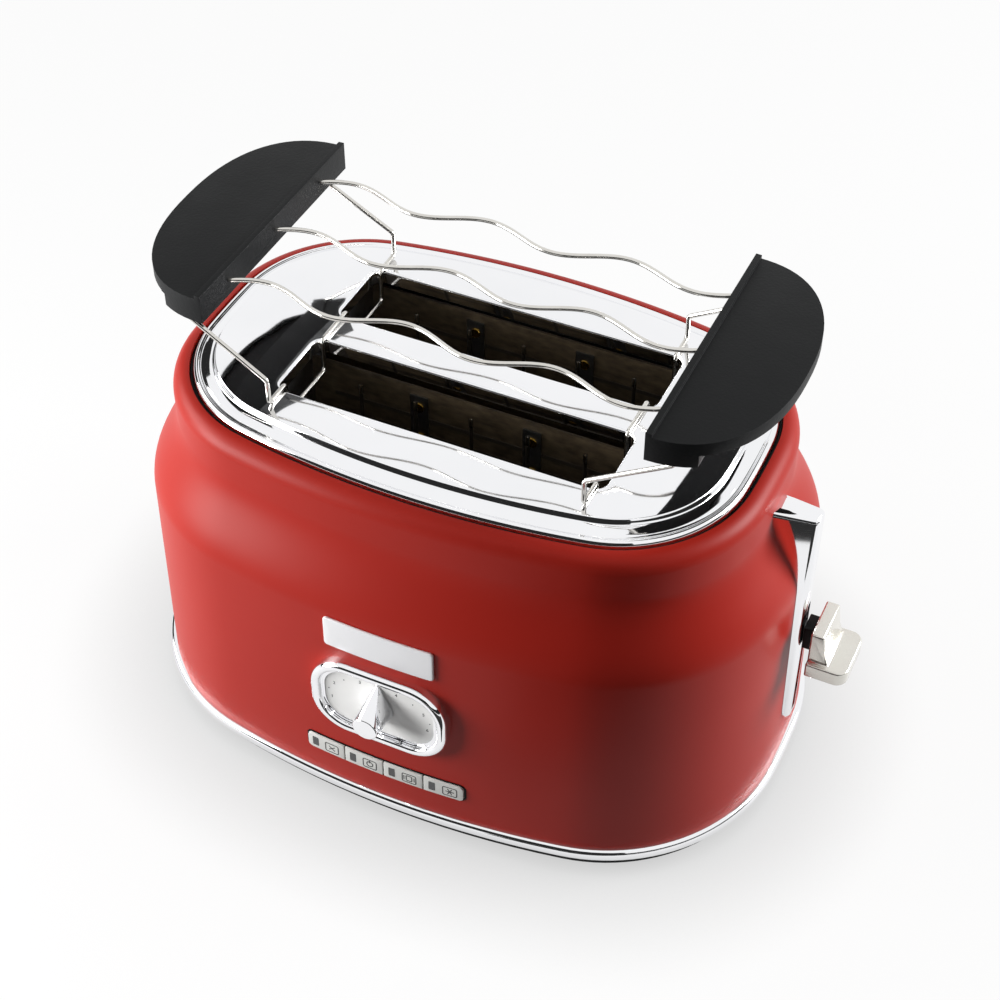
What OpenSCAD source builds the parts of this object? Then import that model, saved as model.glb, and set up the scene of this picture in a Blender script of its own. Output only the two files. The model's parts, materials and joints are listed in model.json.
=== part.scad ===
// Two-slot toaster with a lift-off bun rack. Millimetres, +Z up, front towards -Y, lever at +X.
// The body's plan outline is a ring of eight tangent arcs. The shell, seal, cover and base keep set
// distances from that outline, so each of them is swept arc by arc from one upright profile.

/* [Body shell] */
// Length of the plan outline, end to end
body_len = 283; // [277:1:290]
// Width of the plan outline, front to back
body_wid = 195; // [190:1:202]
// Angle that half of the bowed front or back turns through
side_half = 10.94; // [9.5:0.01:12.5]
// Angle that half of a bowed end turns through
end_half = 2.06; // [1.7:0.01:2.6]
// Radius of the four upright corners
corner_r = 79; // [74:1:84]
// Thickness of the painted shell
shell_t = 1.6; // [1.2:0.1:2]
// Height of the shell from its seam to its rim
body_h = 148.2; // [142:0.1:156]
// Height of the shoulder above the seam
shoulder_up = 95.5; // [88:0.1:100]
// Height of the neck above the seam
neck_up = 131.5; // [124:0.1:136]
// How far the skin stands inside the outline at the seam
foot_in = 0.8; // [0.4:0.1:1.6]
// How far the side draws in between seam and shoulder
side_taper = 1.8; // [0.6:0.1:3]
// How far the neck draws in from the shoulder
neck_in = 13.2; // [10:0.1:15]
// Width of the rounded lip round the top opening
lip_in = 7.1; // [5.5:0.1:8]
// Height of the rounded lip
lip_h = 5.7; // [4.5:0.1:7]

/* [Top cover] */
// Rise of the deck above the shell's rim
cover_rise = 7.1; // [6:0.1:9]
// Thickness of the cover's sheet
cover_t = 1; // [0.8:0.1:1.4]
// Width of the black seal between shell and cover
seal_w = 1.3; // [0.8:0.1:2]
// Width of the cover's rounded edge bead
bead_w = 3.6; // [2.6:0.1:4.6]
// Width of the ledge inside the bead
ledge_w = 4.6; // [3.6:0.1:6]
// Width of the steep step from the ledge up to the deck
step_w = 1.6; // [1.2:0.1:3]
// Length of a bread slot
slot_len = 139; // [132:1:142]
// Width of a bread slot
slot_w = 34; // [32:0.5:35]
// Width of the bridge between the slots
bridge_w = 16.6; // [15:0.1:20]
// Corner radius of a bread slot
slot_r = 5; // [3:0.5:8]
// Depth of the turned-down collar round a slot
collar_h = 6; // [4:0.5:8]

/* [Base] */
// Gap under the base that the feet keep
foot_drop = 2; // [1.5:0.1:3]
// Diameter of a rubber foot
foot_d = 16; // [12:0.5:20]
// Distance of the feet from the middle, along the length
foot_x = 98; // [94:1:104]
// Distance of the feet from the middle, front to back
foot_y = 50; // [44:1:54]
// Height of the black base
base_h = 6.3; // [5.8:0.1:8]
// Thickness of the base's floor
floor_t = 1.5; // [1.2:0.1:2]
// How far the black base stands inside the outline
base_in = 2.5; // [1.5:0.1:4]
// Height of the bright base ring
ring_h = 6.2; // [5:0.1:8]
// How far the base ring bulges past the outline
ring_bulge = 2.2; // [1:0.1:3]
// Width of the crumb tray
tray_w = 144; // [130:1:144]

/* [Lever] */
// Height of the lever bar's middle, at rest
lever_z = 85.5; // [80:0.5:92]
// How far the lever goes down
lever_drop = 42; // [34:0.5:44]
// How far the lever lifts above its rest, to raise small slices
lever_lift = 10; // [4:0.5:12]
// Width of the lever track
track_w = 9.2; // [8:0.1:12]
// How far the track's face stands outside the plan outline
track_out = 1.9; // [1.5:0.1:4]
// Height of the track's top
track_top = 150; // [140:1:152]
// Height of the track's lower end
track_foot = 34; // [29:1:35]
// Length of the lever knob, outwards
knob_len = 17; // [14:0.5:20]
// Width of the lever knob's paddle
paddle_w = 25.8; // [20:0.1:30]
// Thickness of the lever knob's paddle
paddle_t = 7; // [5:0.1:9]
// Height of the lever knob's upright above the paddle
upright_h = 15; // [10:0.5:18]

/* [Controls] */
// Height of the browning dial's middle
dial_z = 70; // [66:0.5:72]
// Width of the dial bezel
dial_w = 60.5; // [54:0.5:66]
// Height of the dial bezel
dial_h = 39.8; // [36:0.1:42]
// Width of the bezel's rim
dial_rim = 5.9; // [4:0.1:7]
// Depth of the bezel in front of the skin
dial_depth = 4.4; // [3.6:0.1:6]
// Diameter of the browning knob
dial_knob_d = 11; // [9:0.5:14]
// Length of the browning knob
dial_knob_len = 12.3; // [9:0.1:16]
// Diameter of the browning knob's shaft
shaft_d = 6; // [4:0.5:7]
// Height of the button row's middle
button_z = 31.2; // [29.5:0.1:33]
// Spacing of the buttons
button_pitch = 18.1; // [15:0.1:19]
// Height of a button
button_h = 8.2; // [7:0.1:9]
// Travel of a button
button_travel = 1.2; // [0.8:0.1:1.5]
// Height of the name plate's middle
plate_z = 103; // [100:0.5:104]
// Width of the name plate
plate_w = 48; // [40:0.5:60]
// Height of the name plate
plate_h = 15; // [10:0.5:16]

/* [Bun rack] */
// Diameter of the rack's wire
wire_d = 2; // [1.8:0.1:2.8]
// Height of the handles' tops above the deck
rack_h = 48; // [40:0.5:60]
// Distance of the handles' straight edges from the middle
handle_x = 89.6; // [86:0.1:94]
// Depth of a handle, outwards
handle_depth = 40.4; // [34:0.1:44]
// Length of a handle, front to back
handle_len = 114; // [104:0.5:120]
// Spacing of the three wavy wires
wave_pitch = 36; // [28:0.5:40]
// Sideways swing of a wavy wire
wave_swing = 4.3; // [2:0.1:6]
// How far the leg wires stand inside the slots' ends
leg_inset = 3.3; // [2.2:0.1:6]
// How deep the leg wires drop into the slots
leg_drop = 15.3; // [10:0.1:16]
// Height of a leg wire's upper bend above the deck
leg_rise = 11.2; // [8:0.1:16]

/* [Hidden] */
$fn = 64;

// Small gaps: between still pieces, between sliding pieces, and a shaft's running gap all round
fit_gap = 0.2;
slide_gap = 0.4;
run_gap = 0.05;
// More than any cut needs to pass through
past = 40;

// Heights that follow from the stack of base, ring, shell and cover
base_top = foot_drop + base_h;
seam_z = base_top + ring_h;
rim_z = seam_z + body_h;
shoulder_z = seam_z + shoulder_up;
neck_z = seam_z + neck_up;
lip_z = rim_z - lip_h;
deck_z = rim_z + cover_rise;
floor_z = foot_drop + floor_t;
// The rim carries a flange inside, on which the seal and the cover sit
seat_drop = 2.3;
seat_z = rim_z - seat_drop;
flange_t = 1.6;
flange_w = 5;

// The plan outline. Front bow, corner and end bow close a quarter of it, which sets the bows' radii
half_len = body_len/2;
half_wid = body_wid/2;
room_x = half_len - corner_r;
room_y = half_wid - corner_r;
side_flat = 1 - cos(side_half);
end_flat = 1 - cos(end_half);
quarter = sin(side_half)*sin(end_half) - side_flat*end_flat;
side_more = (room_x*sin(end_half) - room_y*end_flat)/quarter;
end_more = (room_y*sin(side_half) - room_x*side_flat)/quarter;
side_bow_r = corner_r + side_more;
end_bow_r = corner_r + end_more;
corner_x = side_more*sin(side_half);
corner_y = end_more*sin(end_half);
side_c = side_bow_r - half_wid;
end_c = end_bow_r - half_len;
corner_turn = 90 - side_half - end_half;
// Each arc: centre, radius, starting angle, turn. The first is the front, and they run round to the left
ARCS = [
    [[0, side_c], side_bow_r, 270 - side_half, 2*side_half],
    [[corner_x, -corner_y], corner_r, 270 + side_half, corner_turn],
    [[-end_c, 0], end_bow_r, 360 - end_half, 2*end_half],
    [[corner_x, corner_y], corner_r, end_half, corner_turn],
    [[0, -side_c], side_bow_r, 90 - side_half, 2*side_half],
    [[-corner_x, corner_y], corner_r, 90 + side_half, corner_turn],
    [[end_c, 0], end_bow_r, 180 - end_half, 2*end_half],
    [[-corner_x, -corner_y], corner_r, 180 + end_half, corner_turn]];
FRONT = ARCS[0];
LEVER_END = ARCS[2];
BACK = ARCS[4];

// The skin's distance from the outline at a height
neck_off = -foot_in - side_taper - neck_in;
rim_off = neck_off - lip_in;
function smooth(t) = t*t*(3 - 2*t);
function skin(z) = z < shoulder_z
    ? -foot_in - side_taper*(z - seam_z)/(shoulder_z - seam_z)
    : -foot_in - side_taper - neck_in*smooth(min(1, (z - shoulder_z)/(neck_z - shoulder_z)));
// The side's own slope carried on above the shoulder and below the seam, for what sits on the side
function side_off(z) = -foot_in - side_taper*(z - seam_z)/(shoulder_z - seam_z);
function front_y(z) = -half_wid - side_off(z);
shoulder_steps = 10;
lip_steps = 6;
SKIN = concat([[skin(seam_z), seam_z]],
    [for (k = [0:shoulder_steps]) let (z = shoulder_z + (neck_z - shoulder_z)*k/shoulder_steps) [skin(z), z]],
    [[neck_off, lip_z]]);
LIP = [for (k = [1:lip_steps]) let (a = 90*k/lip_steps)
    [neck_off - lip_in*(1 - cos(a)), lip_z + lip_h*sin(a)]];

// The cover's profile, from its outer foot to the deck
cover_off = rim_off - seal_w;
bead_h = cover_rise*0.48;
bead_z = rim_z + bead_h;
ledge_z = bead_z + cover_rise*0.21;
ledge_off = cover_off - bead_w;
step_off = ledge_off - ledge_w;
deck_off = step_off - step_w;
profile_steps = 6;
COVER = concat([[cover_off, seat_z]],
    [for (k = [0:profile_steps]) let (a = 90*k/profile_steps)
        [cover_off - bead_w*(1 - cos(a)), rim_z + bead_h*sin(a)]],
    [for (k = [0:profile_steps]) let (t = k/profile_steps)
        [step_off - step_w*t, ledge_z + (deck_z - ledge_z)*smooth(t)]]);
deck_lap = 2;

// Bread slots and the chamber under them
slot_y = (bridge_w + slot_w)/2;
slot_in = bridge_w/2;
slot_out = slot_in + slot_w;
plate_t = 1.2;
slot_end_gap = 4.5;
rail_in = tray_w/2 + slide_gap + fit_gap;
rail_lap = 1.4;
plate_x = max(slot_len/2 + slot_end_gap, rail_in + rail_lap);
rail_reach = 8.6;
rail_out = plate_x + rail_reach;
plate_half = slot_out + 9.7;
plate_top_z = deck_z - collar_h;
rail_h = 5.5;
plate_foot_z = floor_z + rail_h;
shield_t = 0.8;
shield_y = plate_half - 1.5;
board_t = 1;
board_outer_y = slot_out + 4.2;
board_inner_y = slot_in - 1.8;
board_low = plate_foot_z + 5;
board_high = plate_top_z - 6;
tab_h = 10;
tab_z = [board_low + 12, board_high - 22];
ribbon_t = 0.3;
ribbon_h = 1.8;
ribbon_pitch = 9;
ribbon_margin = 10;
strap_w = 8;
strap_t = 0.4;
strap_x = slot_len*0.18;
eyelet_d = 4.4;
eyelet_t = 0.4;
eyelet_gap = 16;

// Bread guides, which close on the slice as the lever goes down
guide_frame_d = 2;
guide_wire_d = 1.6;
guide_close = 6;
guide_inner_y = slot_in + 2.3;
guide_outer_y = slot_out - 2.3;
guide_low = board_low + 10;
guide_tip = deck_z - leg_drop - guide_wire_d/2;
guide_stand = 20;
guide_high = guide_tip - guide_stand;
guide_end = 2.8;
guide_wires = 5;
guide_wire_in = 20;
guide_ratio = guide_close/lever_drop;

// Carriage, lever and latch
lever_bar_t = 3;
lever_bar_h = 9;
carrier_t = 2;
carrier_h = 7;
rung_w = 15;
rung_count = 9;
slider_l = 16;
slider_w = 18;
slider_h = 16;
cross_t = 2;
cross_x = plate_x + plate_t + guide_end + 2;
rod_d = 6;
rod_x = cross_x + cross_t + slider_l/2;
slider_end = rod_x + slider_l/2;
boss_h = 8;
boss_wall = 4;
bracket_t = 3;
bracket_tab = 12;
bracket_end = 8;
bracket_gap = 1;
bracket_half = guide_inner_y - guide_ratio*lever_lift - guide_frame_d/2 - bracket_gap;
spring_room = 36;
bracket_z = lever_z + slider_h/2 + lever_lift + spring_room;
armature_l = 18;
armature_t = 2;
armature_w = 16;
armature_z = lever_z - slider_h/2 - armature_t;
magnet_gap = 0.3;
magnet_x = slider_end + 3;
magnet_l = 14;
magnet_leg = 4;
magnet_yoke = 5;
magnet_top = armature_z - lever_drop - magnet_gap;
spring_d = 7;
spring_wire = 0.9;
spring_turns = 14;

// Lever track, stem and knob
track_face = half_len + track_out;
track_slot = lever_bar_t + 2*slide_gap;
track_wall = 1.5;
stem_w = 9;
stem_h = 11.5;
stem_len = 4.4;
stem_x = track_face + slide_gap;
knob_x = stem_x + stem_len;
knob_tip = knob_x + knob_len;
paddle_top = lever_z - stem_h/2 + 0.5;
paddle_r = 5;
upright_t = 5.5;
upright_w = paddle_w - 5;

// Dial, knob and control board
dial_front = front_y(dial_z) - dial_depth;
dial_r = dial_h*0.42;
dial_rebate = 1.5;
dial_glass = 2.6;
face_t = 1.2;
face_front = dial_front + dial_glass + fit_gap;
knob_back = face_front - 0.5;
knob_tip_y = knob_back - dial_knob_len;
fin_gap = 0.85;
fin_reach = dial_h/2 - dial_rim - fin_gap;
fin_r = 1.2;
knob_foot_r = dial_knob_d/2 + 0.9;
fin_turn = asin((knob_foot_r - fin_r)/(fin_reach - fin_r));
board_y = front_y(dial_z) + 18.6;
board_thick = 1.6;
board_w = 84;
board_bottom = floor_z + 16;
board_top = dial_z + 14;
post_w = 6;
post_x = board_w/2 - 6;
pot_w = 16;
pot_t = 7;
shaft_end = board_y - 2;

// Buttons
button_count = 4;
button_gap = 0.6;
button_w = button_pitch - button_gap;
button_proud = 1;
button_depth = 6;
button_run = 0.2;
row_w = button_pitch*button_count - button_gap;
row_r = 2;
frame_edge = 0.7;
frame_w = row_w + 2*frame_edge;
frame_h = button_h + 2*frame_edge;
frame_flange = 3;
frame_depth = 5;
switch_h = 6;
switch_t = 3.4;
button_stem_d = 4;
switch_front = board_y - switch_t;
stem_back = switch_front - button_travel - 0.3;

// Name plate, cord gland, feet and screws
name_t = 1.4;
gland_z = seam_z + 13;
gland_bore = 7.2;
gland_barrel = 12;
gland_flange = 16;
gland_out = 5;
gland_in = 6;
stud_d = 6;
stud_h = 2;
screw_d = 3;
screw_head = 6;
screw_head_h = 0.8;
screw_y = plate_half - 8;
plate_flange = 9;

// Bun rack
leg_gap = 0.6;
leg_x = slot_len/2 - leg_inset;
wire_z = deck_z + wire_d/2 + leg_gap/2;
rack_top = deck_z + rack_h;
lip_w = 2.4;
lip_rise = 1.6;
handle_t = 5.4;
handle_wall = 2.4;
cap_top = rack_top - lip_rise;
bar_w = 18.8;
bar_h = 10.9;
bar_low = cap_top - bar_h;
wave_drop = 4.4;
wave_z = cap_top - wave_drop;
wave_halves = 6;
wave_grip = 8;
wave_end = handle_x + wave_grip;
wave_steps = 8;
leg_spread = 9.5;
leg_out = slot_out + wire_d/2 + leg_spread;
leg_side = slot_r - sqrt(pow(slot_r - wire_d/2 - leg_gap, 2) - pow(max(0, slot_r - leg_inset), 2));
leg_slot_out = slot_out - leg_side;
leg_slot_in = slot_in + leg_side;
leg_in = 9.6;
leg_top_x = handle_x + leg_in;
leg_top_y = leg_out - 1.2;
leg_knee = 3.4;
leg_knee_z = bar_low - leg_knee;
leg_grip = 4;
leg_top_z = bar_low + leg_grip;
leg_bend_r = leg_side;
leg_bend_steps = 3;
wire_sides = 8;

// How far the whole object reaches from the body's middle, so that its box can be centred
reach_left = half_len + ring_bulge;
reach_right = knob_tip;
reach_front = -knob_tip_y;
reach_back = half_wid + gland_out;

// Moves a piece from the body's middle to the frame, whose origin is under the middle of the whole box
module place() translate([(reach_left - reach_right)/2, (reach_front - reach_back)/2, 0]) children();

// A block between two corners
module block(low, high) translate(low) cube(high - low);

// A round bar along X or along Y, between two places
module bar_x(d, x0, x1, y, z) translate([x0, y, z]) rotate([0, 90, 0]) cylinder(d = d, h = x1 - x0);
module bar_y(d, y0, y1, x, z) translate([x, y0, z]) rotate([-90, 0, 0]) cylinder(d = d, h = y1 - y0);

// A rounded rectangle about the middle
module rounded(w, h, r) {
    square([w - 2*r, h], center = true);
    square([w, h - 2*r], center = true);
    for (x = [-1, 1], y = [-1, 1]) translate([x*(w/2 - r), y*(h/2 - r)]) circle(r);
}

// A flat shape drawn in X and Z, standing from y0 to y1
module upright(y0, y1, z) translate([0, y1, z]) rotate([90, 0, 0]) linear_extrude(y1 - y0) children();

// A move in a coarse and a fine step, so that the ends of neighbouring arcs meet without a crack
function coarse(v) = [for (c = v) round(c*100)/100];
module shift(v) translate(coarse(v)) translate(v - coarse(v)) children();

// A profile swept along one arc of the plan outline, or round the whole outline
module sweep(arc) shift(arc[0]) rotate_extrude(angle = arc[3], start = arc[2], $fn = 240)
    shift([arc[1], 0]) children();
module sweep_round() for (arc = ARCS) sweep(arc) children();

// The flat plan outline, grown or shrunk
function arc_points(arc, off, n) = [for (k = [0:n - 1]) let (a = arc[2] + arc[3]*k/n)
    arc[0] + (arc[1] + off)*[cos(a), sin(a)]];
function outline(off) = [for (arc = ARCS) each arc_points(arc, off, ceil(arc[3]/5) + 1)];

// The space just under the skin on one arc of the side, between two distances from the skin
module side_band(arc, inner, outer, z0, z1) sweep(arc) polygon([
    [side_off(z0) + inner, z0], [side_off(z0) + outer, z0],
    [side_off(z1) + outer, z1], [side_off(z1) + inner, z1]]);

// A tube along a path. Each ring of it stands square to the path, turned by a reference direction
function unit(v) = v/norm(v);
function heading(path, i) = unit((i > 0 ? unit(path[i] - path[i - 1]) : [0, 0, 0])
    + (i < len(path) - 1 ? unit(path[i + 1] - path[i]) : [0, 0, 0]));
function ring(p, t, ref, r, n) = let (u = unit(cross(ref, t)), w = cross(t, u))
    [for (k = [0:n - 1]) p + r*(u*cos(360*k/n) + w*sin(360*k/n))];
module tube(path, d, n, ref) {
    last = len(path) - 1;
    points = [for (i = [0:last]) each ring(path[i], heading(path, i), ref, d/2, n)];
    sides = [for (i = [0:last - 1], k = [0:n - 1]) let (a = i*n + k, b = i*n + (k + 1)%n)
        each [[a, a + n, b + n], [a, b + n, b]]];
    start = [for (k = [1:n - 2]) [0, k, k + 1]];
    end = [for (k = [1:n - 2]) [last*n, last*n + k + 1, last*n + k]];
    polyhedron(points, concat(sides, start, end), convexity = 10);
}

// A path with its corners rounded
function corner_arc(a, p, b, r, n) = let (u = unit(a - p), v = unit(b - p), half = acos(u*v)/2,
    c = p + unit(u + v)*r/sin(half), e = unit(p + u*r/tan(half) - c), f = unit(p + v*r/tan(half) - c),
    turn = 180 - 2*half)
    [for (k = [0:n]) c + r*(e*sin(turn*(1 - k/n)) + f*sin(turn*k/n))/sin(turn)];
function rounded_path(path, r, n) = [path[0],
    for (i = [1:len(path) - 2]) each corner_arc(path[i - 1], path[i], path[i + 1], r, n), path[len(path) - 1]];

// The rounded outline of the button row, grown all round, through the front wall
module button_row(grow) upright(-half_wid - past, -half_wid + past, button_z)
    rounded(row_w + 2*grow, button_h + 2*grow, row_r + grow);

// Body shell, with its openings for the dial shaft, the buttons, the lever and the cord
module body_shell() {
    flange_low = seat_z - flange_t;
    inner = [for (i = [len(SKIN) - 2:-1:0]) [SKIN[i].x - shell_t, SKIN[i].y]];
    color("firebrick") place() difference() {
        sweep_round() polygon(concat(SKIN, LIP, [[rim_off, seat_z], [rim_off - flange_w, seat_z],
            [rim_off - flange_w, flange_low], [neck_off - shell_t, flange_low]], inner));
        bar_y(shaft_d + 4, -half_wid - past, -half_wid + past, 0, dial_z);
        button_row(frame_edge + fit_gap);
        block([half_len - past, -lever_bar_t/2 - 1, lever_z - lever_drop - lever_bar_h/2 - 1],
            [half_len + past, lever_bar_t/2 + 1, lever_z + lever_lift + lever_bar_h/2 + 1]);
        bar_y(gland_barrel + 2*fit_gap, half_wid - past, half_wid + past, 0, gland_z);
    }
}

// A bread slot's plan shape, grown all round
module slot_shape(side, grow) translate([0, side*slot_y])
    rounded(slot_len + 2*grow, slot_w + 2*grow, slot_r + grow);

// Mirror cover: rounded edge, sloping ledge, step, deck and the collars round the slots
module top_cover() {
    under = [for (i = [len(COVER) - 1:-1:1]) [COVER[i].x - cover_t, COVER[i].y - cover_t]];
    color("gainsboro") place() difference() {
        union() {
            sweep_round() polygon(concat(COVER, [[deck_off - deck_lap, deck_z],
                [deck_off - deck_lap, deck_z - cover_t]], under, [[cover_off - cover_t, seat_z]]));
            translate([0, 0, deck_z - cover_t]) linear_extrude(cover_t)
                polygon(outline(deck_off - deck_lap/2));
            for (side = [-1, 1]) translate([0, 0, deck_z - collar_h]) linear_extrude(collar_h - cover_t/2)
                slot_shape(side, cover_t);
        }
        for (side = [-1, 1]) translate([0, 0, deck_z - past]) linear_extrude(2*past) slot_shape(side, 0);
    }
}

// Black seal between the shell's rim and the cover
module cover_seal() color("black") place() sweep_round()
    polygon([[cover_off, seat_z], [rim_off, seat_z], [rim_off, rim_z + 0.4], [cover_off, rim_z + 0.4]]);

// Bright ring that the shell stands on
module base_ring() {
    ring_in = base_in + 2.2;
    bulge = [for (k = [0:8]) let (a = 180*k/8) [ring_bulge*sin(a), base_top + ring_h*(1 - cos(a))/2]];
    color("silver") place() sweep_round() polygon(concat([[-ring_in, base_top]], bulge, [[-ring_in, seam_z]]));
}

// Where the feet and the screws go
FEET = [for (x = [-1, 1], y = [-1, 1]) [x*foot_x, y*foot_y]];
SCREWS = [for (x = [-1, 1], y = [-1, 1]) [x*(plate_x + plate_t + plate_flange/2), y*screw_y]];

// Black base pan: floor, wall, rails for the end plates, boss for the rod, posts for the control board
module base_pan() {
    wall_t = 2.2;
    boss_d = rod_d + 2*boss_wall;
    color("dimgray") place() difference() {
        union() {
            sweep_round() polygon([[-base_in - wall_t, foot_drop], [-base_in, foot_drop],
                [-base_in, base_top], [-base_in - wall_t, base_top]]);
            translate([0, 0, foot_drop]) linear_extrude(floor_t) polygon(outline(-base_in - wall_t/2));
            for (x = [-rail_out, rail_in]) block([x, -plate_half, foot_drop],
                [x + rail_out - rail_in, plate_half, plate_foot_z]);
            translate([rod_x, 0, foot_drop]) cylinder(d = boss_d, h = floor_t + boss_h);
            for (x = [-1, 1]) block([x*post_x - post_w/2, board_y - 4, foot_drop],
                [x*post_x + post_w/2, board_y + board_thick + 4, board_bottom + 6]);
        }
        for (x = [-1, 1]) block([x*post_x - past/4, board_y - run_gap, board_bottom],
            [x*post_x + past/4, board_y + board_thick + run_gap, board_bottom + past]);
        block([-tray_w/2 - slide_gap, 0, floor_z], [tray_w/2 + slide_gap, half_wid + past, base_top + 1]);
        translate([rod_x, 0, floor_z]) cylinder(d = rod_d, h = past);
        for (p = FEET) translate([p.x, p.y, 0]) cylinder(d = stud_d, h = past/2);
        for (p = SCREWS) translate([p.x, p.y, 0]) {
            cylinder(d = screw_d + 2*run_gap, h = past);
            cylinder(d = screw_head + 2*fit_gap, h = foot_drop + screw_head_h);
        }
    }
}

// Rubber feet, each with a stud through the floor and a collar above it
module rubber_feet() color("black") place() for (p = FEET) translate([p.x, p.y, 0]) {
    cylinder(d = foot_d, h = foot_drop);
    cylinder(d = stud_d, h = floor_z + stud_h);
    translate([0, 0, floor_z]) cylinder(d = stud_d + 3, h = stud_h);
}

// Screws that hold the end plates down on the base
module base_screws() color("silver") place() for (p = SCREWS) translate([p.x, p.y, foot_drop]) {
    cylinder(d = screw_head, h = screw_head_h);
    cylinder(d = screw_d, h = plate_foot_z + plate_t + 1 - foot_drop);
}

// Crumb tray: a shallow sheet pan, and its black handle that closes the base's back
tray_z = floor_z + slide_gap;
tray_t = 0.8;
tray_rim_gap = 1.1;
tray_rim = base_top - tray_rim_gap;
tray_front_gap = 6;
tray_front = -plate_half - tray_front_gap;
tray_handle_deep = 15.5;
tray_back = half_wid - tray_handle_deep;
module crumb_tray() color("silver") place() difference() {
    block([-tray_w/2, tray_front, tray_z], [tray_w/2, tray_back, tray_rim]);
    block([-tray_w/2 + tray_t, tray_front + tray_t, tray_z + tray_t],
        [tray_w/2 - tray_t, tray_back - tray_t, tray_rim + 1]);
}
module tray_handle() color("dimgray") place() intersection() {
    block([-tray_w/2, tray_back, tray_z], [tray_w/2, half_wid + past, base_top - slide_gap]);
    sweep(BACK) polygon([[-past, 0], [-base_in, 0], [-base_in, base_top], [-past, base_top]]);
}

// A chassis end plate with slots for carriers, guides and boards. It is drawn for the lever end
module end_plate() difference() {
    union() {
        block([plate_x, -plate_half, plate_foot_z], [plate_x + plate_t, plate_half, plate_top_z]);
        for (side = [-1, 1]) block([plate_x, side*screw_y - 7, plate_foot_z],
            [plate_x + plate_t + plate_flange, side*screw_y + 7, plate_foot_z + plate_t]);
    }
    for (side = [-1, 1]) {
        block([0, side*slot_y - carrier_t/2 - slide_gap, lever_z - lever_drop - carrier_h/2 - 1],
            [2*plate_x, side*slot_y + carrier_t/2 + slide_gap, lever_z + lever_lift + carrier_h/2 + 1]);
        for (z = [guide_low, guide_high]) {
            guide_slot(side, guide_inner_y - guide_ratio*lever_lift, guide_inner_y + guide_close, z);
            guide_slot(side, guide_outer_y - guide_close, guide_outer_y + guide_ratio*lever_lift, z);
        }
        for (y = [board_inner_y - board_t/2, board_outer_y + board_t/2], z = tab_z)
            block([0, side*y - board_t/2 - fit_gap/2, z - fit_gap],
                [2*plate_x, side*y + board_t/2 + fit_gap/2, z + tab_h + fit_gap]);
    }
    for (p = SCREWS) translate([abs(p.x), p.y, plate_foot_z - 1])
        cylinder(d = screw_d + 2*run_gap, h = past/4);
}
module guide_slot(side, y0, y1, z) {
    gap = guide_frame_d/2 + slide_gap;
    block([0, min(side*y0, side*y1) - gap, z - gap], [2*plate_x, max(side*y0, side*y1) + gap, z + gap]);
}
module end_plate_lever() color("lightsteelblue") place() end_plate();
module end_plate_far() color("lightsteelblue") place() mirror([1, 0, 0]) end_plate();

// Heat shields outside the outer boards
module heat_shield(side) place() block([-plate_x, side*shield_y - shield_t/2, plate_foot_z + 3],
    [plate_x, side*shield_y + shield_t/2, plate_top_z - 3]);
module heat_shield_front() color("silver") heat_shield(-1);
module heat_shield_back() color("silver") heat_shield(1);

// The four heating boards: side of the toaster, distance of the face that looks into the slot, and the
// way that face looks, along Y
FRONT_OUTER = [-1, board_outer_y, 1];
FRONT_INNER = [-1, board_inner_y, -1];
BACK_INNER = [1, board_inner_y, 1];
BACK_OUTER = [1, board_outer_y, -1];

// A layer on a board: from one distance to another in front of its face, drawn in X and Z
module on_board(b, from, to) {
    face = b[0]*b[1];
    y0 = face + b[2]*from;
    y1 = face + b[2]*to;
    upright(min(y0, y1), max(y0, y1), 0) children();
}
module board(b) color("darkkhaki") place() on_board(b, -board_t, 0) {
    translate([-plate_x, board_low]) square([2*plate_x, board_high - board_low]);
    for (z = tab_z) translate([-plate_x - plate_t, z]) square([2*(plate_x + plate_t), tab_h]);
}
module board_front_outer() board(FRONT_OUTER);
module board_front_inner() board(FRONT_INNER);
module board_back_inner() board(BACK_INNER);
module board_back_outer() board(BACK_OUTER);

// Heating ribbon: one strip that runs to and fro across its board
module ribbon(b) {
    rows = floor((board_high - board_low - 2*ribbon_margin)/ribbon_pitch);
    run = plate_x - ribbon_margin;
    color("dimgray") place() on_board(b, 0, ribbon_t) for (k = [0:rows]) let (z = board_low + ribbon_margin
        + k*ribbon_pitch) {
        translate([-run, z]) square([2*run, ribbon_h]);
        if (k < rows) translate([(k%2 == 0 ? run - ribbon_h : -run), z])
            square([ribbon_h, ribbon_pitch + ribbon_h]);
    }
}
module ribbon_front_outer() ribbon(FRONT_OUTER);
module ribbon_front_inner() ribbon(FRONT_INNER);
module ribbon_back_inner() ribbon(BACK_INNER);
module ribbon_back_outer() ribbon(BACK_OUTER);

// Upright straps over the ribbon, and the brass eyelets that hold them
BOARDS = [FRONT_OUTER, FRONT_INNER, BACK_INNER, BACK_OUTER];
module board_straps() color("slategray") place()
    for (b = BOARDS, x = [-1, 1]) on_board(b, ribbon_t, ribbon_t + strap_t)
    translate([x*strap_x - strap_w/2, board_low + 4]) square([strap_w, board_high - board_low - 8]);
module board_eyelets() {
    from = ribbon_t + strap_t;
    count = floor((board_high - board_low - 20)/eyelet_gap);
    color("gold") place() for (b = BOARDS, x = [-1, 1], k = [0:count]) on_board(b, from, from + eyelet_t)
        translate([x*strap_x, board_high - 10 - k*eyelet_gap]) circle(d = eyelet_d);
}

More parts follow.
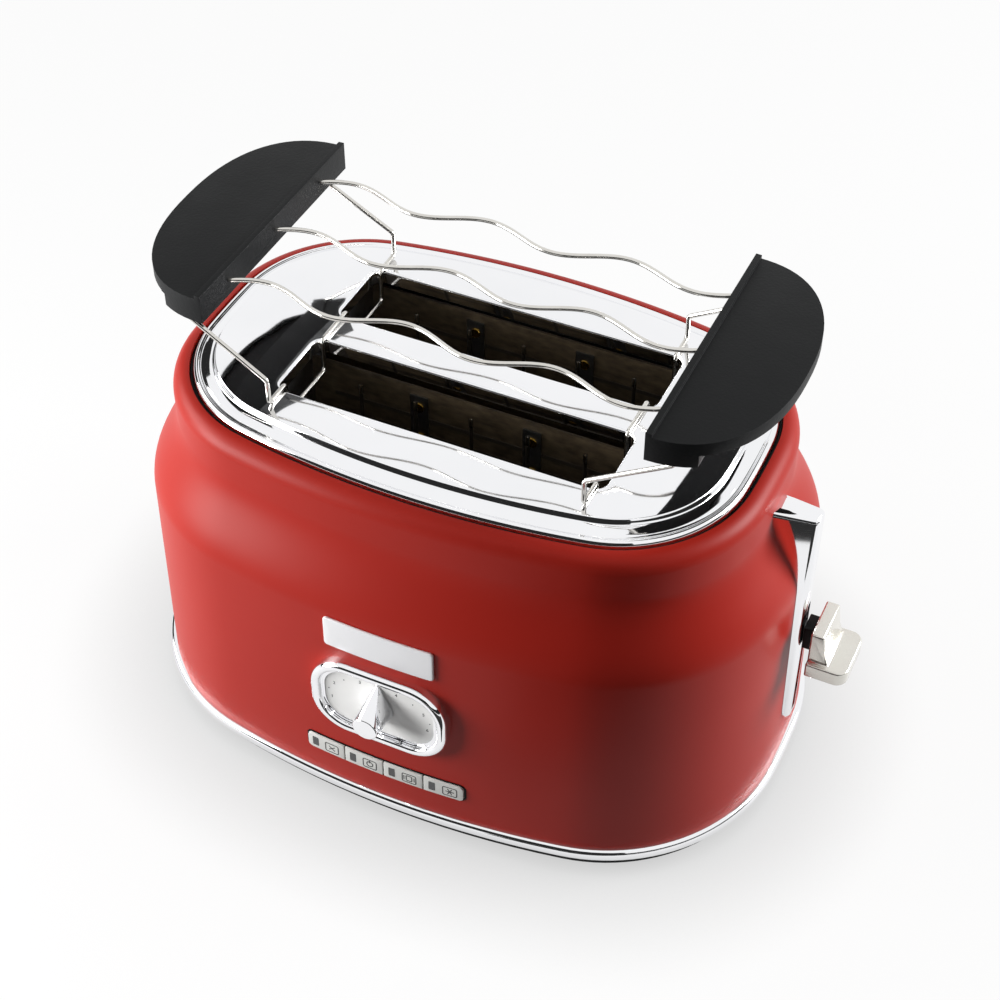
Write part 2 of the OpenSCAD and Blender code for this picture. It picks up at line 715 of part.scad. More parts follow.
// A bread guide: two long frame wires whose ends ride in the end plates, and upright wires that stand past
// the upper one
module guide(y) {
    reach = plate_x + plate_t + guide_end;
    span = slot_len/2 - guide_wire_in;
    color("lightgray") place() {
        for (z = [guide_low, guide_high]) bar_x(guide_frame_d, -reach, reach, y, z);
        for (k = [0:guide_wires - 1]) translate([-span + 2*span*k/(guide_wires - 1), y, guide_low])
            cylinder(d = guide_wire_d, h = guide_tip - guide_low);
    }
}
module guide_front_outer() guide(-guide_outer_y);
module guide_front_inner() guide(-guide_inner_y);
module guide_back_inner() guide(guide_inner_y);
module guide_back_outer() guide(guide_outer_y);

// A bread carrier: an upright strip with cross rungs, from the far end plate to the carriage
module bread_carrier(side) {
    far = -plate_x - plate_t - 3;
    span = slot_len/2 - 10;
    color("silver") place() {
        block([far, side*slot_y - carrier_t/2, lever_z - carrier_h/2],
            [cross_x, side*slot_y + carrier_t/2, lever_z + carrier_h/2]);
        for (k = [0:rung_count - 1]) let (x = -span + 2*span*k/(rung_count - 1))
            block([x - 1, side*slot_y - rung_w/2, lever_z + carrier_h/2 - 2],
                [x + 1, side*slot_y + rung_w/2, lever_z + carrier_h/2]);
    }
}
module bread_carrier_front() bread_carrier(-1);
module bread_carrier_back() bread_carrier(1);

// Carriage slider: a bored block on the rod, with a cross plate for the carriers
module carriage_slider() color("tan") place() difference() {
    union() {
        block([cross_x, -slider_w/2, lever_z - slider_h/2],
            [slider_end, slider_w/2, lever_z + slider_h/2]);
        block([cross_x, -slot_y - 6, lever_z - 6], [cross_x + cross_t, slot_y + 6, lever_z + 6]);
    }
    translate([rod_x, 0, 0]) cylinder(d = rod_d + 2*run_gap, h = 2*deck_z);
}

// Lever bar from the slider out through the track, its black stem, and the knob
module lever_bar() color("silver") place()
    block([slider_end, -lever_bar_t/2, lever_z - lever_bar_h/2],
        [knob_x, lever_bar_t/2, lever_z + lever_bar_h/2]);
module lever_stem() color("black") place() difference() {
    block([stem_x, -stem_w/2, lever_z - stem_h/2], [knob_x, stem_w/2, lever_z + stem_h/2]);
    block([stem_x - 1, -lever_bar_t/2, lever_z - lever_bar_h/2],
        [knob_x + 1, lever_bar_t/2, lever_z + lever_bar_h/2]);
}
module lever_knob() color("whitesmoke") place() {
    translate([knob_x, 0, paddle_top - paddle_t]) linear_extrude(paddle_t) {
        translate([0, -paddle_w/2]) square([knob_len - paddle_r, paddle_w]);
        translate([0, -paddle_w/2 + paddle_r]) square([knob_len, paddle_w - 2*paddle_r]);
        for (y = [-1, 1]) translate([knob_len - paddle_r, y*(paddle_w/2 - paddle_r)]) circle(paddle_r);
    }
    translate([knob_x, 0, paddle_top]) rotate([90, 0, 0]) linear_extrude(upright_w, center = true)
        polygon([[0, -1], [upright_t + 3.5, -1], [upright_t + 1.4, upright_h*0.35], [upright_t, upright_h],
            [0, upright_h]]);
}

// Armature under the slider's arm, which the latch magnet holds when the lever is down
module armature() color("dimgray") place() {
    block([rod_x + rod_d/2 + 1, -armature_w/2, armature_z], [slider_end + armature_l, armature_w/2,
        armature_z + armature_t]);
}
module latch_magnet() {
    core = armature_w/2 - 1;
    yoke_z = floor_z + magnet_yoke;
    color("sienna") place() translate([magnet_x, 0, 0]) {
        block([0, -core, floor_z], [magnet_leg, core, magnet_top]);
        block([magnet_l - magnet_leg, -core, floor_z], [magnet_l, core, magnet_top]);
        block([0, -core, floor_z], [magnet_l, core, yoke_z]);
        block([magnet_leg, -armature_w/2, yoke_z], [magnet_l - magnet_leg, armature_w/2, magnet_top - 3]);
    }
}

// Guide rod, and the bracket on the end plate that holds its top
module guide_rod() color("silver") place()
    translate([rod_x, 0, floor_z]) cylinder(d = rod_d, h = bracket_z + bracket_t + 2 - floor_z);
module rod_bracket() color("lightsteelblue") place() difference() {
    union() {
        block([plate_x + plate_t, -bracket_half, bracket_z],
            [rod_x + bracket_end, bracket_half, bracket_z + bracket_t]);
        block([plate_x + plate_t, -bracket_half, bracket_z],
            [plate_x + plate_t + bracket_t, bracket_half, bracket_z + bracket_tab]);
    }
    translate([rod_x, 0, bracket_z - 1]) cylinder(d = rod_d, h = bracket_t + 2);
}

// Return spring round the rod, between the slider and the bracket
module return_spring() {
    low = lever_z + slider_h/2 + spring_wire/2;
    high = bracket_z - spring_wire/2;
    ring_steps = 10;
    path = [for (k = [0:spring_turns*ring_steps]) let (a = 360*k/ring_steps, t = k/(spring_turns*ring_steps))
        [rod_x + (rod_d + spring_d)/2*cos(a), (rod_d + spring_d)/2*sin(a), low + (high - low)*t]];
    color("gray") place() tube(path, spring_wire, 6, [0, 0, 1]);
}

// Mains switch beside the carriage, and the terminal block at the far end
mains_l = 16;
mains_w = 14;
mains_h = 26;
mains_key = 5;
mains_x = rod_x - rod_d/2;
terminal_l = 20;
terminal_w = 16;
terminal_h = 14;
terminal_x = -plate_x - plate_t - plate_flange - terminal_l - 4;
terminal_bore = 4;
module mains_switch() color("black") place() {
    block([mains_x, slot_y, floor_z], [mains_x + mains_l, slot_y + mains_w, floor_z + mains_h]);
    block([mains_x + mains_l/4, slot_y + mains_w/4, floor_z + mains_h],
        [mains_x + mains_l*3/4, slot_y + mains_w*3/4, floor_z + mains_h + mains_key]);
}
module terminal_block() color("ivory") place() difference() {
    block([terminal_x, slot_y - terminal_w/2, floor_z],
        [terminal_x + terminal_l, slot_y + terminal_w/2, floor_z + terminal_h]);
    for (k = [1, 3]) translate([terminal_x + terminal_l*k/4, slot_y, floor_z + terminal_h/2])
        cylinder(d = terminal_bore, h = past);
}

// Lever track: a bright channel on the end wall, slotted for the lever bar
module lever_track() {
    slot_low = lever_z - lever_drop - lever_bar_h/2 - 1;
    slot_high = lever_z + lever_lift + lever_bar_h/2 + 1;
    deep = 2*past;
    color("gainsboro") place() difference() {
        block([half_len - past, -track_w/2, track_foot], [track_face, track_w/2, track_top]);
        sweep(LEVER_END) polygon(concat([[-deep, 0], [skin(seam_z), 0]], SKIN, LIP, [[-deep, rim_z]]));
        block([half_len - past, -track_w/2 + track_wall, track_foot + track_wall],
            [track_face - track_wall, track_w/2 - track_wall, track_top - track_wall]);
        block([half_len - past, -track_slot/2, slot_low], [track_face + 1, track_slot/2, slot_high]);
    }
}

// Name plate, left bare, bent to the front wall
module name_plate() color("silver") place() intersection() {
    side_band(FRONT, 0, name_t, plate_z - plate_h, plate_z + plate_h);
    upright(-half_wid - past, 0, plate_z) rounded(plate_w, plate_h, 1.5);
}

// Dial bezel on the skin, with a rebate behind for the dial face
module dial_bezel() color("gainsboro") place() difference() {
    upright(dial_front, -half_wid + past/2, dial_z) rounded(dial_w, dial_h, dial_r);
    upright(dial_front - 1, 0, dial_z) rounded(dial_w - 2*dial_rim, dial_h - 2*dial_rim, dial_r - dial_rim);
    upright(dial_front + dial_glass, 0, dial_z)
        rounded(face_w + 2*fit_gap, face_h + 2*fit_gap, dial_r - dial_rim + dial_rebate + fit_gap);
    side_band(FRONT, -past, 0, dial_z - dial_h, dial_z + dial_h);
}
face_w = dial_w - 2*(dial_rim - dial_rebate);
face_h = dial_h - 2*(dial_rim - dial_rebate);
module dial_face() color("ivory") place() difference() {
    upright(face_front, face_front + face_t, dial_z) rounded(face_w, face_h, dial_r - dial_rim + dial_rebate);
    bar_y(shaft_d + 2*fit_gap, face_front - 1, 0, 0, dial_z);
}

// Browning knob, which narrows from a drop-shaped foot, whose tip is the pointer, to a round front. Its edge
// points go round by direction: first those of the tip, then those of the round
FIN_DIRECTIONS = [for (k = [0:6]) fin_turn + 3 + (174 - 2*fin_turn)*k/6];
ROUND_DIRECTIONS = [for (k = [0:24]) 180 - fin_turn + (180 + 2*fin_turn)*k/24];
function edge_point(a, r, y, z) = [r*cos(a), y, z + r*sin(a)];
module knob_body() {
    directions = concat(FIN_DIRECTIONS, ROUND_DIRECTIONS);
    n = len(directions);
    foot = concat([for (a = FIN_DIRECTIONS) edge_point(a, fin_r, knob_back, dial_z + fin_reach - fin_r)],
        [for (a = ROUND_DIRECTIONS) edge_point(a, knob_foot_r, knob_back, dial_z)]);
    front = [for (a = directions) edge_point(a, dial_knob_d/2, knob_tip_y, dial_z)];
    sides = [for (k = [0:n - 1]) let (j = (k + 1)%n) each [[k, n + k, n + j], [k, n + j, j]]];
    ends = [[for (k = [0:n - 1]) k], [for (k = [n - 1:-1:0]) n + k]];
    polyhedron(concat(foot, front), concat(sides, ends), convexity = 4);
}

// The knob is bored for the shaft that it turns
module browning_knob() color("gainsboro") place() difference() {
    knob_body();
    bar_y(shaft_d, knob_back - dial_knob_len*0.7, 0, 0, dial_z);
}
module knob_shaft() color("silver") place()
    bar_y(shaft_d, knob_back - dial_knob_len*0.7, shaft_end, 0, dial_z);
module potentiometer() color("steelblue") place() difference() {
    union() {
        block([-pot_w/2, board_y - pot_t, dial_z - pot_w/2], [pot_w/2, board_y, dial_z + pot_w/2]);
        bar_y(shaft_d + 3, board_y - pot_t - 4, board_y - pot_t, 0, dial_z);
    }
    bar_y(shaft_d + 2*run_gap, board_y - past, shaft_end + 1, 0, dial_z);
}

// Control board with its push switches, standing in the base's posts
module control_board() color("seagreen") place()
    block([-board_w/2, board_y, board_bottom], [board_w/2, board_y + board_thick, board_top]);
BUTTON_X = [for (k = [0:button_count - 1]) (k - (button_count - 1)/2)*button_pitch];
module push_switches() color("black") place() for (x = BUTTON_X)
    block([x - switch_h/2, switch_front, button_z - switch_h/2],
        [x + switch_h/2, board_y, button_z + switch_h/2]);

// Thin black frame of the button row, clipped behind the shell
module button_frame() color("black") place() difference() {
    union() {
        intersection() {
            side_band(FRONT, -frame_depth, 0.3, button_z - frame_h, button_z + frame_h);
            button_row(frame_edge);
        }
        intersection() {
            side_band(FRONT, -frame_depth, -shell_t, button_z - frame_h, button_z + frame_h);
            block([-frame_w/2 - frame_flange, -half_wid - past, button_z - frame_h/2 - frame_flange],
                [frame_w/2 + frame_flange, 0, button_z + frame_h/2 + frame_flange]);
        }
    }
    for (k = [0:button_count - 1]) button_place(k, button_run);
}

// The place of one button in the row, grown all round. The row's own ends close the outer places
module button_place(k, grow) intersection() {
    button_row(grow);
    block([k > 0 ? BUTTON_X[k] - button_w/2 - grow : -row_w, -half_wid - past, button_z - 2*button_h],
        [k < button_count - 1 ? BUTTON_X[k] + button_w/2 + grow : row_w, 0, button_z + 2*button_h]);
}

// One push button, curved like the front wall, with its stem
module button(k) color("whitesmoke") place() {
    intersection() {
        side_band(FRONT, -button_depth, button_proud, button_z - button_h, button_z + button_h);
        button_place(k, 0);
    }
    bar_y(button_stem_d, front_y(button_z) + button_depth/2, stem_back, BUTTON_X[k], button_z);
}
module button_cancel() button(0);
module button_reheat() button(1);
module button_one_side() button(2);
module button_defrost() button(3);

// Cord gland in the back wall
module cord_gland() {
    back = -front_y(gland_z);
    color("black") place() difference() {
        union() {
            bar_y(gland_barrel, back - gland_in, reach_back, 0, gland_z);
            bar_y(gland_flange, back - 0.5, reach_back - 2, 0, gland_z);
            intersection() {
                bar_y(gland_flange + 2, back - gland_in, back, 0, gland_z);
                side_band(BACK, -gland_in, -shell_t, gland_z - gland_flange, gland_z + gland_flange);
            }
        }
        bar_y(gland_bore, back - past, back + past, 0, gland_z);
        intersection() {
            bar_y(gland_flange + 1, back - shell_t - 1, back + 1, 0, gland_z);
            difference() {
                side_band(BACK, -shell_t, 0, gland_z - gland_flange, gland_z + gland_flange);
                bar_y(gland_barrel, back - past, back + past, 0, gland_z);
            }
        }
    }
}

// A rack handle, drawn for the right: a D-shaped cap, a lip along its straight edge, and a deep bar under it
// whose ends follow the D
D_POWER = 2/2.35;
function d_shape(depth, half) = [for (a = [-90:5:90])
    [handle_x + depth*pow(max(cos(a), 0), D_POWER), sign(a)*half*pow(abs(sin(a)), D_POWER)]];
module rack_handle() {
    half = handle_len/2;
    difference() {
        union() {
            difference() {
                translate([0, 0, cap_top - handle_t]) linear_extrude(handle_t)
                    polygon(d_shape(handle_depth, half));
                translate([0, 0, cap_top - handle_t - 1]) linear_extrude(handle_t - handle_wall + 1)
                    polygon(d_shape(handle_depth - handle_wall, half - handle_wall));
            }
            block([handle_x, -half, cap_top - handle_t], [handle_x + lip_w, half, rack_top]);
            intersection() {
                translate([0, 0, bar_low]) linear_extrude(bar_h - handle_wall/2)
                    polygon(d_shape(handle_depth, half));
                block([0, -handle_len, 0], [handle_x + bar_w, handle_len, 2*rack_top]);
            }
        }
        for (k = [-1:1]) bar_x(wire_d + 2*run_gap, handle_x - 1, wave_end + 0.5, k*wave_pitch, wave_z);
        for (y = [-1, 1]) translate([leg_top_x, y*leg_top_y, bar_low - 1])
            cylinder(d = wire_d + 2*run_gap, h = leg_top_z - bar_low + 1.5);
    }
}
module rack_handle_right() color([0.12, 0.13, 0.13]) place() rack_handle();
module rack_handle_left() color([0.12, 0.13, 0.13]) place() mirror([1, 0, 0]) rack_handle();

// The wavy wires, whose straight ends sit in the handles
module rack_wires() {
    span = handle_x - 0.5;
    swing = [for (k = [0:wave_halves*wave_steps]) let (t = k/(wave_halves*wave_steps))
        [-span + 2*span*t, wave_swing*sin(180*wave_halves*t), wave_z]];
    path = concat([[-wave_end, 0, wave_z]], swing, [[wave_end, 0, wave_z]]);
    color("silver") place() for (k = [-1:1]) translate([0, k*wave_pitch, 0])
        tube(path, wire_d, wire_sides, [0, 0, 1]);
}

// A leg wire: out of one handle end, down to the deck, through both slots and up to the other handle end
module rack_leg() {
    half = [[leg_top_x, leg_top_y, leg_top_z], [leg_top_x, leg_top_y, leg_knee_z],
        [leg_x, leg_out, wire_z + leg_rise], [leg_x, leg_out, wire_z],
        [leg_x, leg_slot_out, wire_z], [leg_x, leg_slot_out, wire_z - leg_drop],
        [leg_x, leg_slot_in, wire_z - leg_drop], [leg_x, leg_slot_in, wire_z]];
    back = [for (i = [len(half) - 1:-1:0]) [half[i].x, -half[i].y, half[i].z]];
    tube(rounded_path(concat(half, back), leg_bend_r, leg_bend_steps), wire_d, wire_sides, [1, 0, 0]);
}
module rack_leg_right() color("silver") place() rack_leg();
module rack_leg_left() color("silver") place() mirror([1, 0, 0]) rack_leg();

body_shell();
top_cover();
cover_seal();
base_ring();
base_pan();
rubber_feet();
base_screws();
crumb_tray();
tray_handle();
end_plate_lever();
end_plate_far();
heat_shield_front();
heat_shield_back();
board_front_outer();
board_front_inner();
board_back_inner();
board_back_outer();
ribbon_front_outer();
ribbon_front_inner();
ribbon_back_inner();
ribbon_back_outer();
board_straps();
board_eyelets();
guide_front_outer();
guide_front_inner();
guide_back_inner();
guide_back_outer();
bread_carrier_front();
bread_carrier_back();
carriage_slider();
lever_bar();
lever_stem();
lever_knob();
armature();
guide_rod();
rod_bracket();
return_spring();
latch_magnet();
mains_switch();
terminal_block();
lever_track();
name_plate();
dial_bezel();
dial_face();
browning_knob();
knob_shaft();
potentiometer();
control_board();
push_switches();
button_frame();
button_cancel();
button_reheat();
button_one_side();
button_defrost();
cord_gland();
rack_handle_left();
rack_handle_right();
rack_wires();
rack_leg_left();
rack_leg_right();
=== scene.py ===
"""Two-slot toaster with a lift-off bun rack: its finishes, its detailed pieces and a studio view."""

from __future__ import annotations

import json
import logging
import math
from contextlib import contextmanager
from dataclasses import dataclass, field
from enum import Enum
from typing import Any, Callable, Iterator, Sequence

import bmesh
import bpy
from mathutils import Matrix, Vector

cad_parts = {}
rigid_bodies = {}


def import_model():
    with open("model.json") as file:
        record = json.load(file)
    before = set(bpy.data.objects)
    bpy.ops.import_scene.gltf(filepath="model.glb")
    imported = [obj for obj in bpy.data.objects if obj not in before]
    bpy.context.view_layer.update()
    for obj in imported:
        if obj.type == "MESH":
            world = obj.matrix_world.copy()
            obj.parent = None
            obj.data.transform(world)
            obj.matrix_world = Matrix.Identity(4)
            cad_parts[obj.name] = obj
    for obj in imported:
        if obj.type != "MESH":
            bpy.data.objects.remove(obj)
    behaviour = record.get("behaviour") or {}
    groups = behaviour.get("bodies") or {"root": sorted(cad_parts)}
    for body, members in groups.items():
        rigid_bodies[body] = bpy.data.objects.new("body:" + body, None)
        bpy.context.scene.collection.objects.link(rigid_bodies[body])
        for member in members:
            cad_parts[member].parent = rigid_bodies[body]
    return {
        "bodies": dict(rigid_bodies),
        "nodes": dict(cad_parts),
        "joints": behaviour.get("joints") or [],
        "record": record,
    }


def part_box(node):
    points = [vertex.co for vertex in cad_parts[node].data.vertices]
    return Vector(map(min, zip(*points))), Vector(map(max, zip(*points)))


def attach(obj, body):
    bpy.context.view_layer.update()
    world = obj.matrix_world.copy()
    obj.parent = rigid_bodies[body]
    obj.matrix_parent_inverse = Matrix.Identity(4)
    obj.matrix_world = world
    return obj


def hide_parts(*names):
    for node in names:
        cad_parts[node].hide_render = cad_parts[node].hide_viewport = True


LOG = logging.getLogger("toaster")
MM = 0.001  # a millimetre in metres
JOIN = 2e-6  # vertices nearer than this are joined, in metres
FINE = 1e-7  # the same where points are drawn on top of each other
LEVEL = 1e-6  # how exactly a point has to lie at a height
FRONT = (math.pi / 2, 0, 0)  # the turn of a flat thing that faces the front
SIDES = (("left", -1), ("right", 1))
Piece = bpy.types.Object
Pair = tuple[float, float]
Triple = tuple[float, float, float]


def srgb(red: int, green: int, blue: int) -> Triple:
    """The linear values for a shader of a colour as seen on a screen, each part from 0 to 255."""
    parts = [c / 255 for c in (red, green, blue)]
    return tuple(c / 12.92 if c <= 0.04045 else ((c + 0.055) / 1.055) ** 2.4 for c in parts)


def even(cells: float) -> Triple:
    """The same number of cells along all three axes."""
    return (cells, cells, cells)


def shares(count: int) -> list[float]:
    """Even steps from 0 to 1."""
    return [k / count for k in range(count + 1)]


def ease(t: float) -> float:
    """A soft step from 0 to 1."""
    return t * t * (3 - 2 * t)


def arc(steps: int, turn: float = 90.0) -> list[Pair]:
    """An arc of radius 1 through a turn in degrees, as 1 - cos and sin of each step."""
    angles = [math.radians(turn * k / steps) for k in range(steps + 1)]
    return [(1 - math.cos(a), math.sin(a)) for a in angles]


class Body(Enum):
    """The bodies that new pieces ride on."""

    CHASSIS = "chassis"
    CARRIAGE = "carriage"
    DIAL = "dial"
    RACK = "rack"
    FRONT_OUTER_GUIDE = "front_outer_guide"
    FRONT_INNER_GUIDE = "front_inner_guide"
    BACK_INNER_GUIDE = "back_inner_guide"
    BACK_OUTER_GUIDE = "back_outer_guide"
    CANCEL = "cancel"
    REHEAT = "reheat"
    ONE_SIDE = "one_side"
    DEFROST = "defrost"


class Slot(Enum):
    """The record's material slots."""

    RED_PAINT = "red_paint"
    CHROME = "bright_chrome"
    BLACK_PLASTIC = "black_plastic"
    BLACK_RUBBER = "black_rubber"
    SHEET_STEEL = "sheet_steel"
    WIRE = "bright_wire"
    SILVER_PLATE = "silver_plate"
    SILVER_KNOB = "silver_knob"
    WHITE_DIAL = "white_dial"
    WHITE_BUTTON = "white_button"
    MICA = "mica_board"
    RIBBON = "heating_ribbon"
    BRASS = "brass_eyelet"
    NYLON = "slider_nylon"
    IRON = "iron_core"
    BOARD_GREEN = "board_green"
    IVORY = "block_ivory"
    POT_BLUE = "pot_blue"


@dataclass
class Value:
    """A shader socket that takes part in Python expressions."""

    kit: ShaderKit
    socket: bpy.types.NodeSocket

    def _math(self, operation: str, other: Any) -> Value:
        """This value and another value or number, put through a Math node."""
        return self.kit.value("ShaderNodeMath", {"operation": operation}, {0: self, 1: other})

    def __add__(self, other: Any) -> Value:
        """Sum."""
        return self._math("ADD", other)

    def __sub__(self, other: Any) -> Value:
        """Difference."""
        return self._math("SUBTRACT", other)

    def __mul__(self, other: Any) -> Value:
        """Product."""
        return self._math("MULTIPLY", other)

    def larger(self, other: Any) -> Value:
        """The larger of two values."""
        return self._math("MAXIMUM", other)

    def smaller(self, other: Any) -> Value:
        """The smaller of two values."""
        return self._math("MINIMUM", other)


@dataclass
class ShaderKit:
    """Adds nodes to one node tree."""

    tree: bpy.types.NodeTree

    @classmethod
    def blank(cls, owner: bpy.types.Material | bpy.types.World) -> ShaderKit:
        """Empties the node tree of a material or a world.

        Args:
            owner: The material or the world.

        Returns:
            The tree's kit.
        """
        owner.use_nodes = True
        owner.node_tree.nodes.clear()
        return cls(owner.node_tree)

    def node(self, kind: str, settings: dict | None = None, inputs: dict | None = None) -> bpy.types.Node:
        """Adds a node, makes its settings and fills its sockets.

        Args:
            kind: The node's type name.
            settings: Attributes to set before the sockets.
            inputs: Socket name or index, with a value to set or a Value to link.

        Returns:
            The new node.
        """
        node = self.tree.nodes.new(kind)
        for key, setting in (settings or {}).items():
            setattr(node, key, setting)
        for key, given in (inputs or {}).items():
            if isinstance(given, Value):
                self.tree.links.new(given.socket, node.inputs[key])
            else:
                node.inputs[key].default_value = given
        return node

    def value(self, kind: str, settings: dict | None = None, inputs: dict | None = None,
              output: int | str = 0) -> Value:
        """One output of a new node, wrapped."""
        return Value(self, self.node(kind, settings, inputs).outputs[output])

    def noise(self, cells: Triple, detail: float) -> Value:
        """Noise over the piece's own place.

        Args:
            cells: Noise cells per metre along each axis.
            detail: Finer octaves.

        Returns:
            The noise, about -0.5 to 0.5.
        """
        place = self.value("ShaderNodeTexCoord", output="Object")
        place = self.value("ShaderNodeMapping", None, {"Vector": place, "Scale": cells})
        return self.value("ShaderNodeTexNoise", None, {"Vector": place, "Scale": 1.0, "Detail": detail}) - 0.5

    def seen(self) -> Value:
        """Tells rays of the camera, of mirroring and of glass from those that light.

        Returns:
            1 for a ray that sees, 0 for one that lights.
        """
        path = self.node("ShaderNodeLightPath")
        camera, mirror, glass = (Value(self, path.outputs[f"Is {kind} Ray"])
                                 for kind in ("Camera", "Glossy", "Transmission"))
        return camera.larger(mirror).larger(glass)


@dataclass(frozen=True)
class Finish:
    """A surface finish: two tones that drift into each other, an uneven gloss and a fine relief.

    The drift and the grain are in cells per metre, along X, Y and Z, the grain's depth in millimetres.
    """

    name: str
    tone: Triple
    tone_two: Triple
    roughness: float
    metallic: float = 0.0
    drift: Triple = even(40)
    drift_detail: float = 4.0
    sharpness: float = 1.0
    gloss_spread: float = 0.05
    least_rough: float = 0.02
    grain: Triple = even(900)
    grain_detail: float = 3.0
    grain_depth: float = 0.0
    coat: float = 0.0
    coat_roughness: float = 0.1
    specular: float = 0.5

    def material(self) -> bpy.types.Material:
        """Builds the finish's shader nodes, the first time that it is asked for.

        Returns:
            The material.
        """
        made = bpy.data.materials.get(self.name)
        if made:
            return made
        made = bpy.data.materials.new(self.name)
        kit = ShaderKit.blank(made)
        broad = kit.noise(self.drift, self.drift_detail)
        share = (broad * self.sharpness + 0.5).larger(0.0).smaller(1.0)
        gloss = broad * (2 * self.gloss_spread) + self.roughness
        tone = kit.value("ShaderNodeMix", {"data_type": "RGBA"},
                         {"Factor": share, "A": (*self.tone, 1), "B": (*self.tone_two, 1)}, output=2)
        inputs: dict[str, Any] = {
            "Base Color": tone,
            "Roughness": gloss.larger(self.least_rough).smaller(1.0),
            "Metallic": self.metallic,
            "Coat Weight": self.coat,
            "Coat Roughness": self.coat_roughness,
            "Specular IOR Level": self.specular,
        }
        if self.grain_depth:
            height = kit.noise(self.grain, self.grain_detail)
            inputs["Normal"] = kit.value("ShaderNodeBump", None, {
                "Strength": 1.0, "Distance": self.grain_depth * MM, "Height": height})
        surface = kit.value("ShaderNodeBsdfPrincipled", None, inputs)
        kit.node("ShaderNodeOutputMaterial", None, {"Surface": surface})
        return made


FINISHES: dict[Slot, Finish] = {
    Slot.RED_PAINT: Finish("satin_red_enamel", srgb(168, 35, 23), srgb(159, 30, 19), 0.42, drift=even(18),
                           gloss_spread=0.04, grain=even(420), grain_depth=0.012, specular=0.2),
    Slot.CHROME: Finish("polished_chrome", srgb(246, 246, 248), srgb(238, 239, 241), 0.055, metallic=1.0,
                        drift=even(30), gloss_spread=0.03),
    Slot.BLACK_PLASTIC: Finish("grained_black_plastic", srgb(21, 22, 23), srgb(13, 14, 15), 0.48,
                               drift=even(60), grain_depth=0.09, specular=0.14),
    Slot.BLACK_RUBBER: Finish("matt_black_rubber", srgb(22, 22, 22), srgb(15, 15, 15), 0.75,
                              grain=even(1500), grain_depth=0.04, specular=0.3),
    Slot.SHEET_STEEL: Finish("rolled_sheet_steel", srgb(168, 169, 170), srgb(140, 141, 143), 0.32,
                             metallic=1.0, drift=(20, 400, 400), gloss_spread=0.08,
                             grain=(60, 2500, 2500), grain_depth=0.01),
    Slot.WIRE: Finish("plated_wire", srgb(226, 224, 219), srgb(205, 202, 196), 0.12, metallic=1.0,
                      drift=even(140)),
    Slot.SILVER_PLATE: Finish("satin_silver_plate", srgb(243, 243, 245), srgb(236, 236, 238), 0.35,
                              metallic=0.2, drift=even(60), gloss_spread=0.04,
                              grain=even(1500), grain_depth=0.004),
    Slot.SILVER_KNOB: Finish("pearl_silver_knob", srgb(226, 224, 217), srgb(214, 211, 203), 0.2,
                             metallic=0.75, drift=even(60), gloss_spread=0.04, coat=0.3),
    Slot.WHITE_DIAL: Finish("warm_white_dial", srgb(250, 250, 248), srgb(246, 245, 243), 0.42,
                            drift=even(200), grain=even(2500), grain_depth=0.008),
    Slot.WHITE_BUTTON: Finish("pale_grey_button", srgb(222, 222, 218), srgb(212, 212, 208), 0.38,
                              drift=even(120), grain=even(1800), grain_depth=0.01),
    Slot.MICA: Finish("smoked_mica", srgb(102, 88, 68), srgb(62, 52, 40), 0.4, drift=(160, 160, 420),
                      sharpness=2.5, gloss_spread=0.15, grain=(500, 500, 1200), grain_depth=0.05),
    Slot.RIBBON: Finish("heating_ribbon_alloy", srgb(96, 88, 78), srgb(66, 60, 53), 0.42, metallic=0.6,
                        drift=(30, 30, 300), gloss_spread=0.1),
    Slot.BRASS: Finish("brass_eyelet_metal", srgb(214, 172, 78), srgb(176, 132, 50), 0.25, metallic=1.0,
                       drift=even(300)),
    Slot.NYLON: Finish("cream_nylon", srgb(212, 198, 168), srgb(198, 182, 150), 0.45, drift=even(80),
                       grain_depth=0.02),
    Slot.IRON: Finish("laminated_iron", srgb(96, 94, 92), srgb(70, 68, 67), 0.45, metallic=1.0,
                      drift=(30, 1800, 30), sharpness=2.0, grain=(30, 2000, 30), grain_depth=0.05),
    Slot.BOARD_GREEN: Finish("green_circuit_board", srgb(40, 104, 62), srgb(28, 82, 48), 0.4,
                             drift=even(260), sharpness=2.5, coat=0.3),
    Slot.IVORY: Finish("ivory_ceramic", srgb(232, 226, 205), srgb(216, 208, 186), 0.35, drift=even(90)),
    Slot.POT_BLUE: Finish("blue_moulding", srgb(58, 94, 148), srgb(46, 78, 128), 0.42, drift=even(120),
                          grain_depth=0.02),
}
PRINT = Finish("dark_print", srgb(58, 58, 60), srgb(44, 44, 46), 0.5, drift=even(600))
HEATED_WIRE = Finish("heat_browned_wire", srgb(84, 77, 68), srgb(48, 43, 38), 0.45, metallic=0.8,
                     drift=even(90), sharpness=1.6, gloss_spread=0.1)
WINDOW = Finish("smoked_window", srgb(36, 36, 38), srgb(22, 22, 24), 0.12, drift=even(500), coat=0.6)
HEATED = ("guide_front", "guide_back", "bread_carrier")


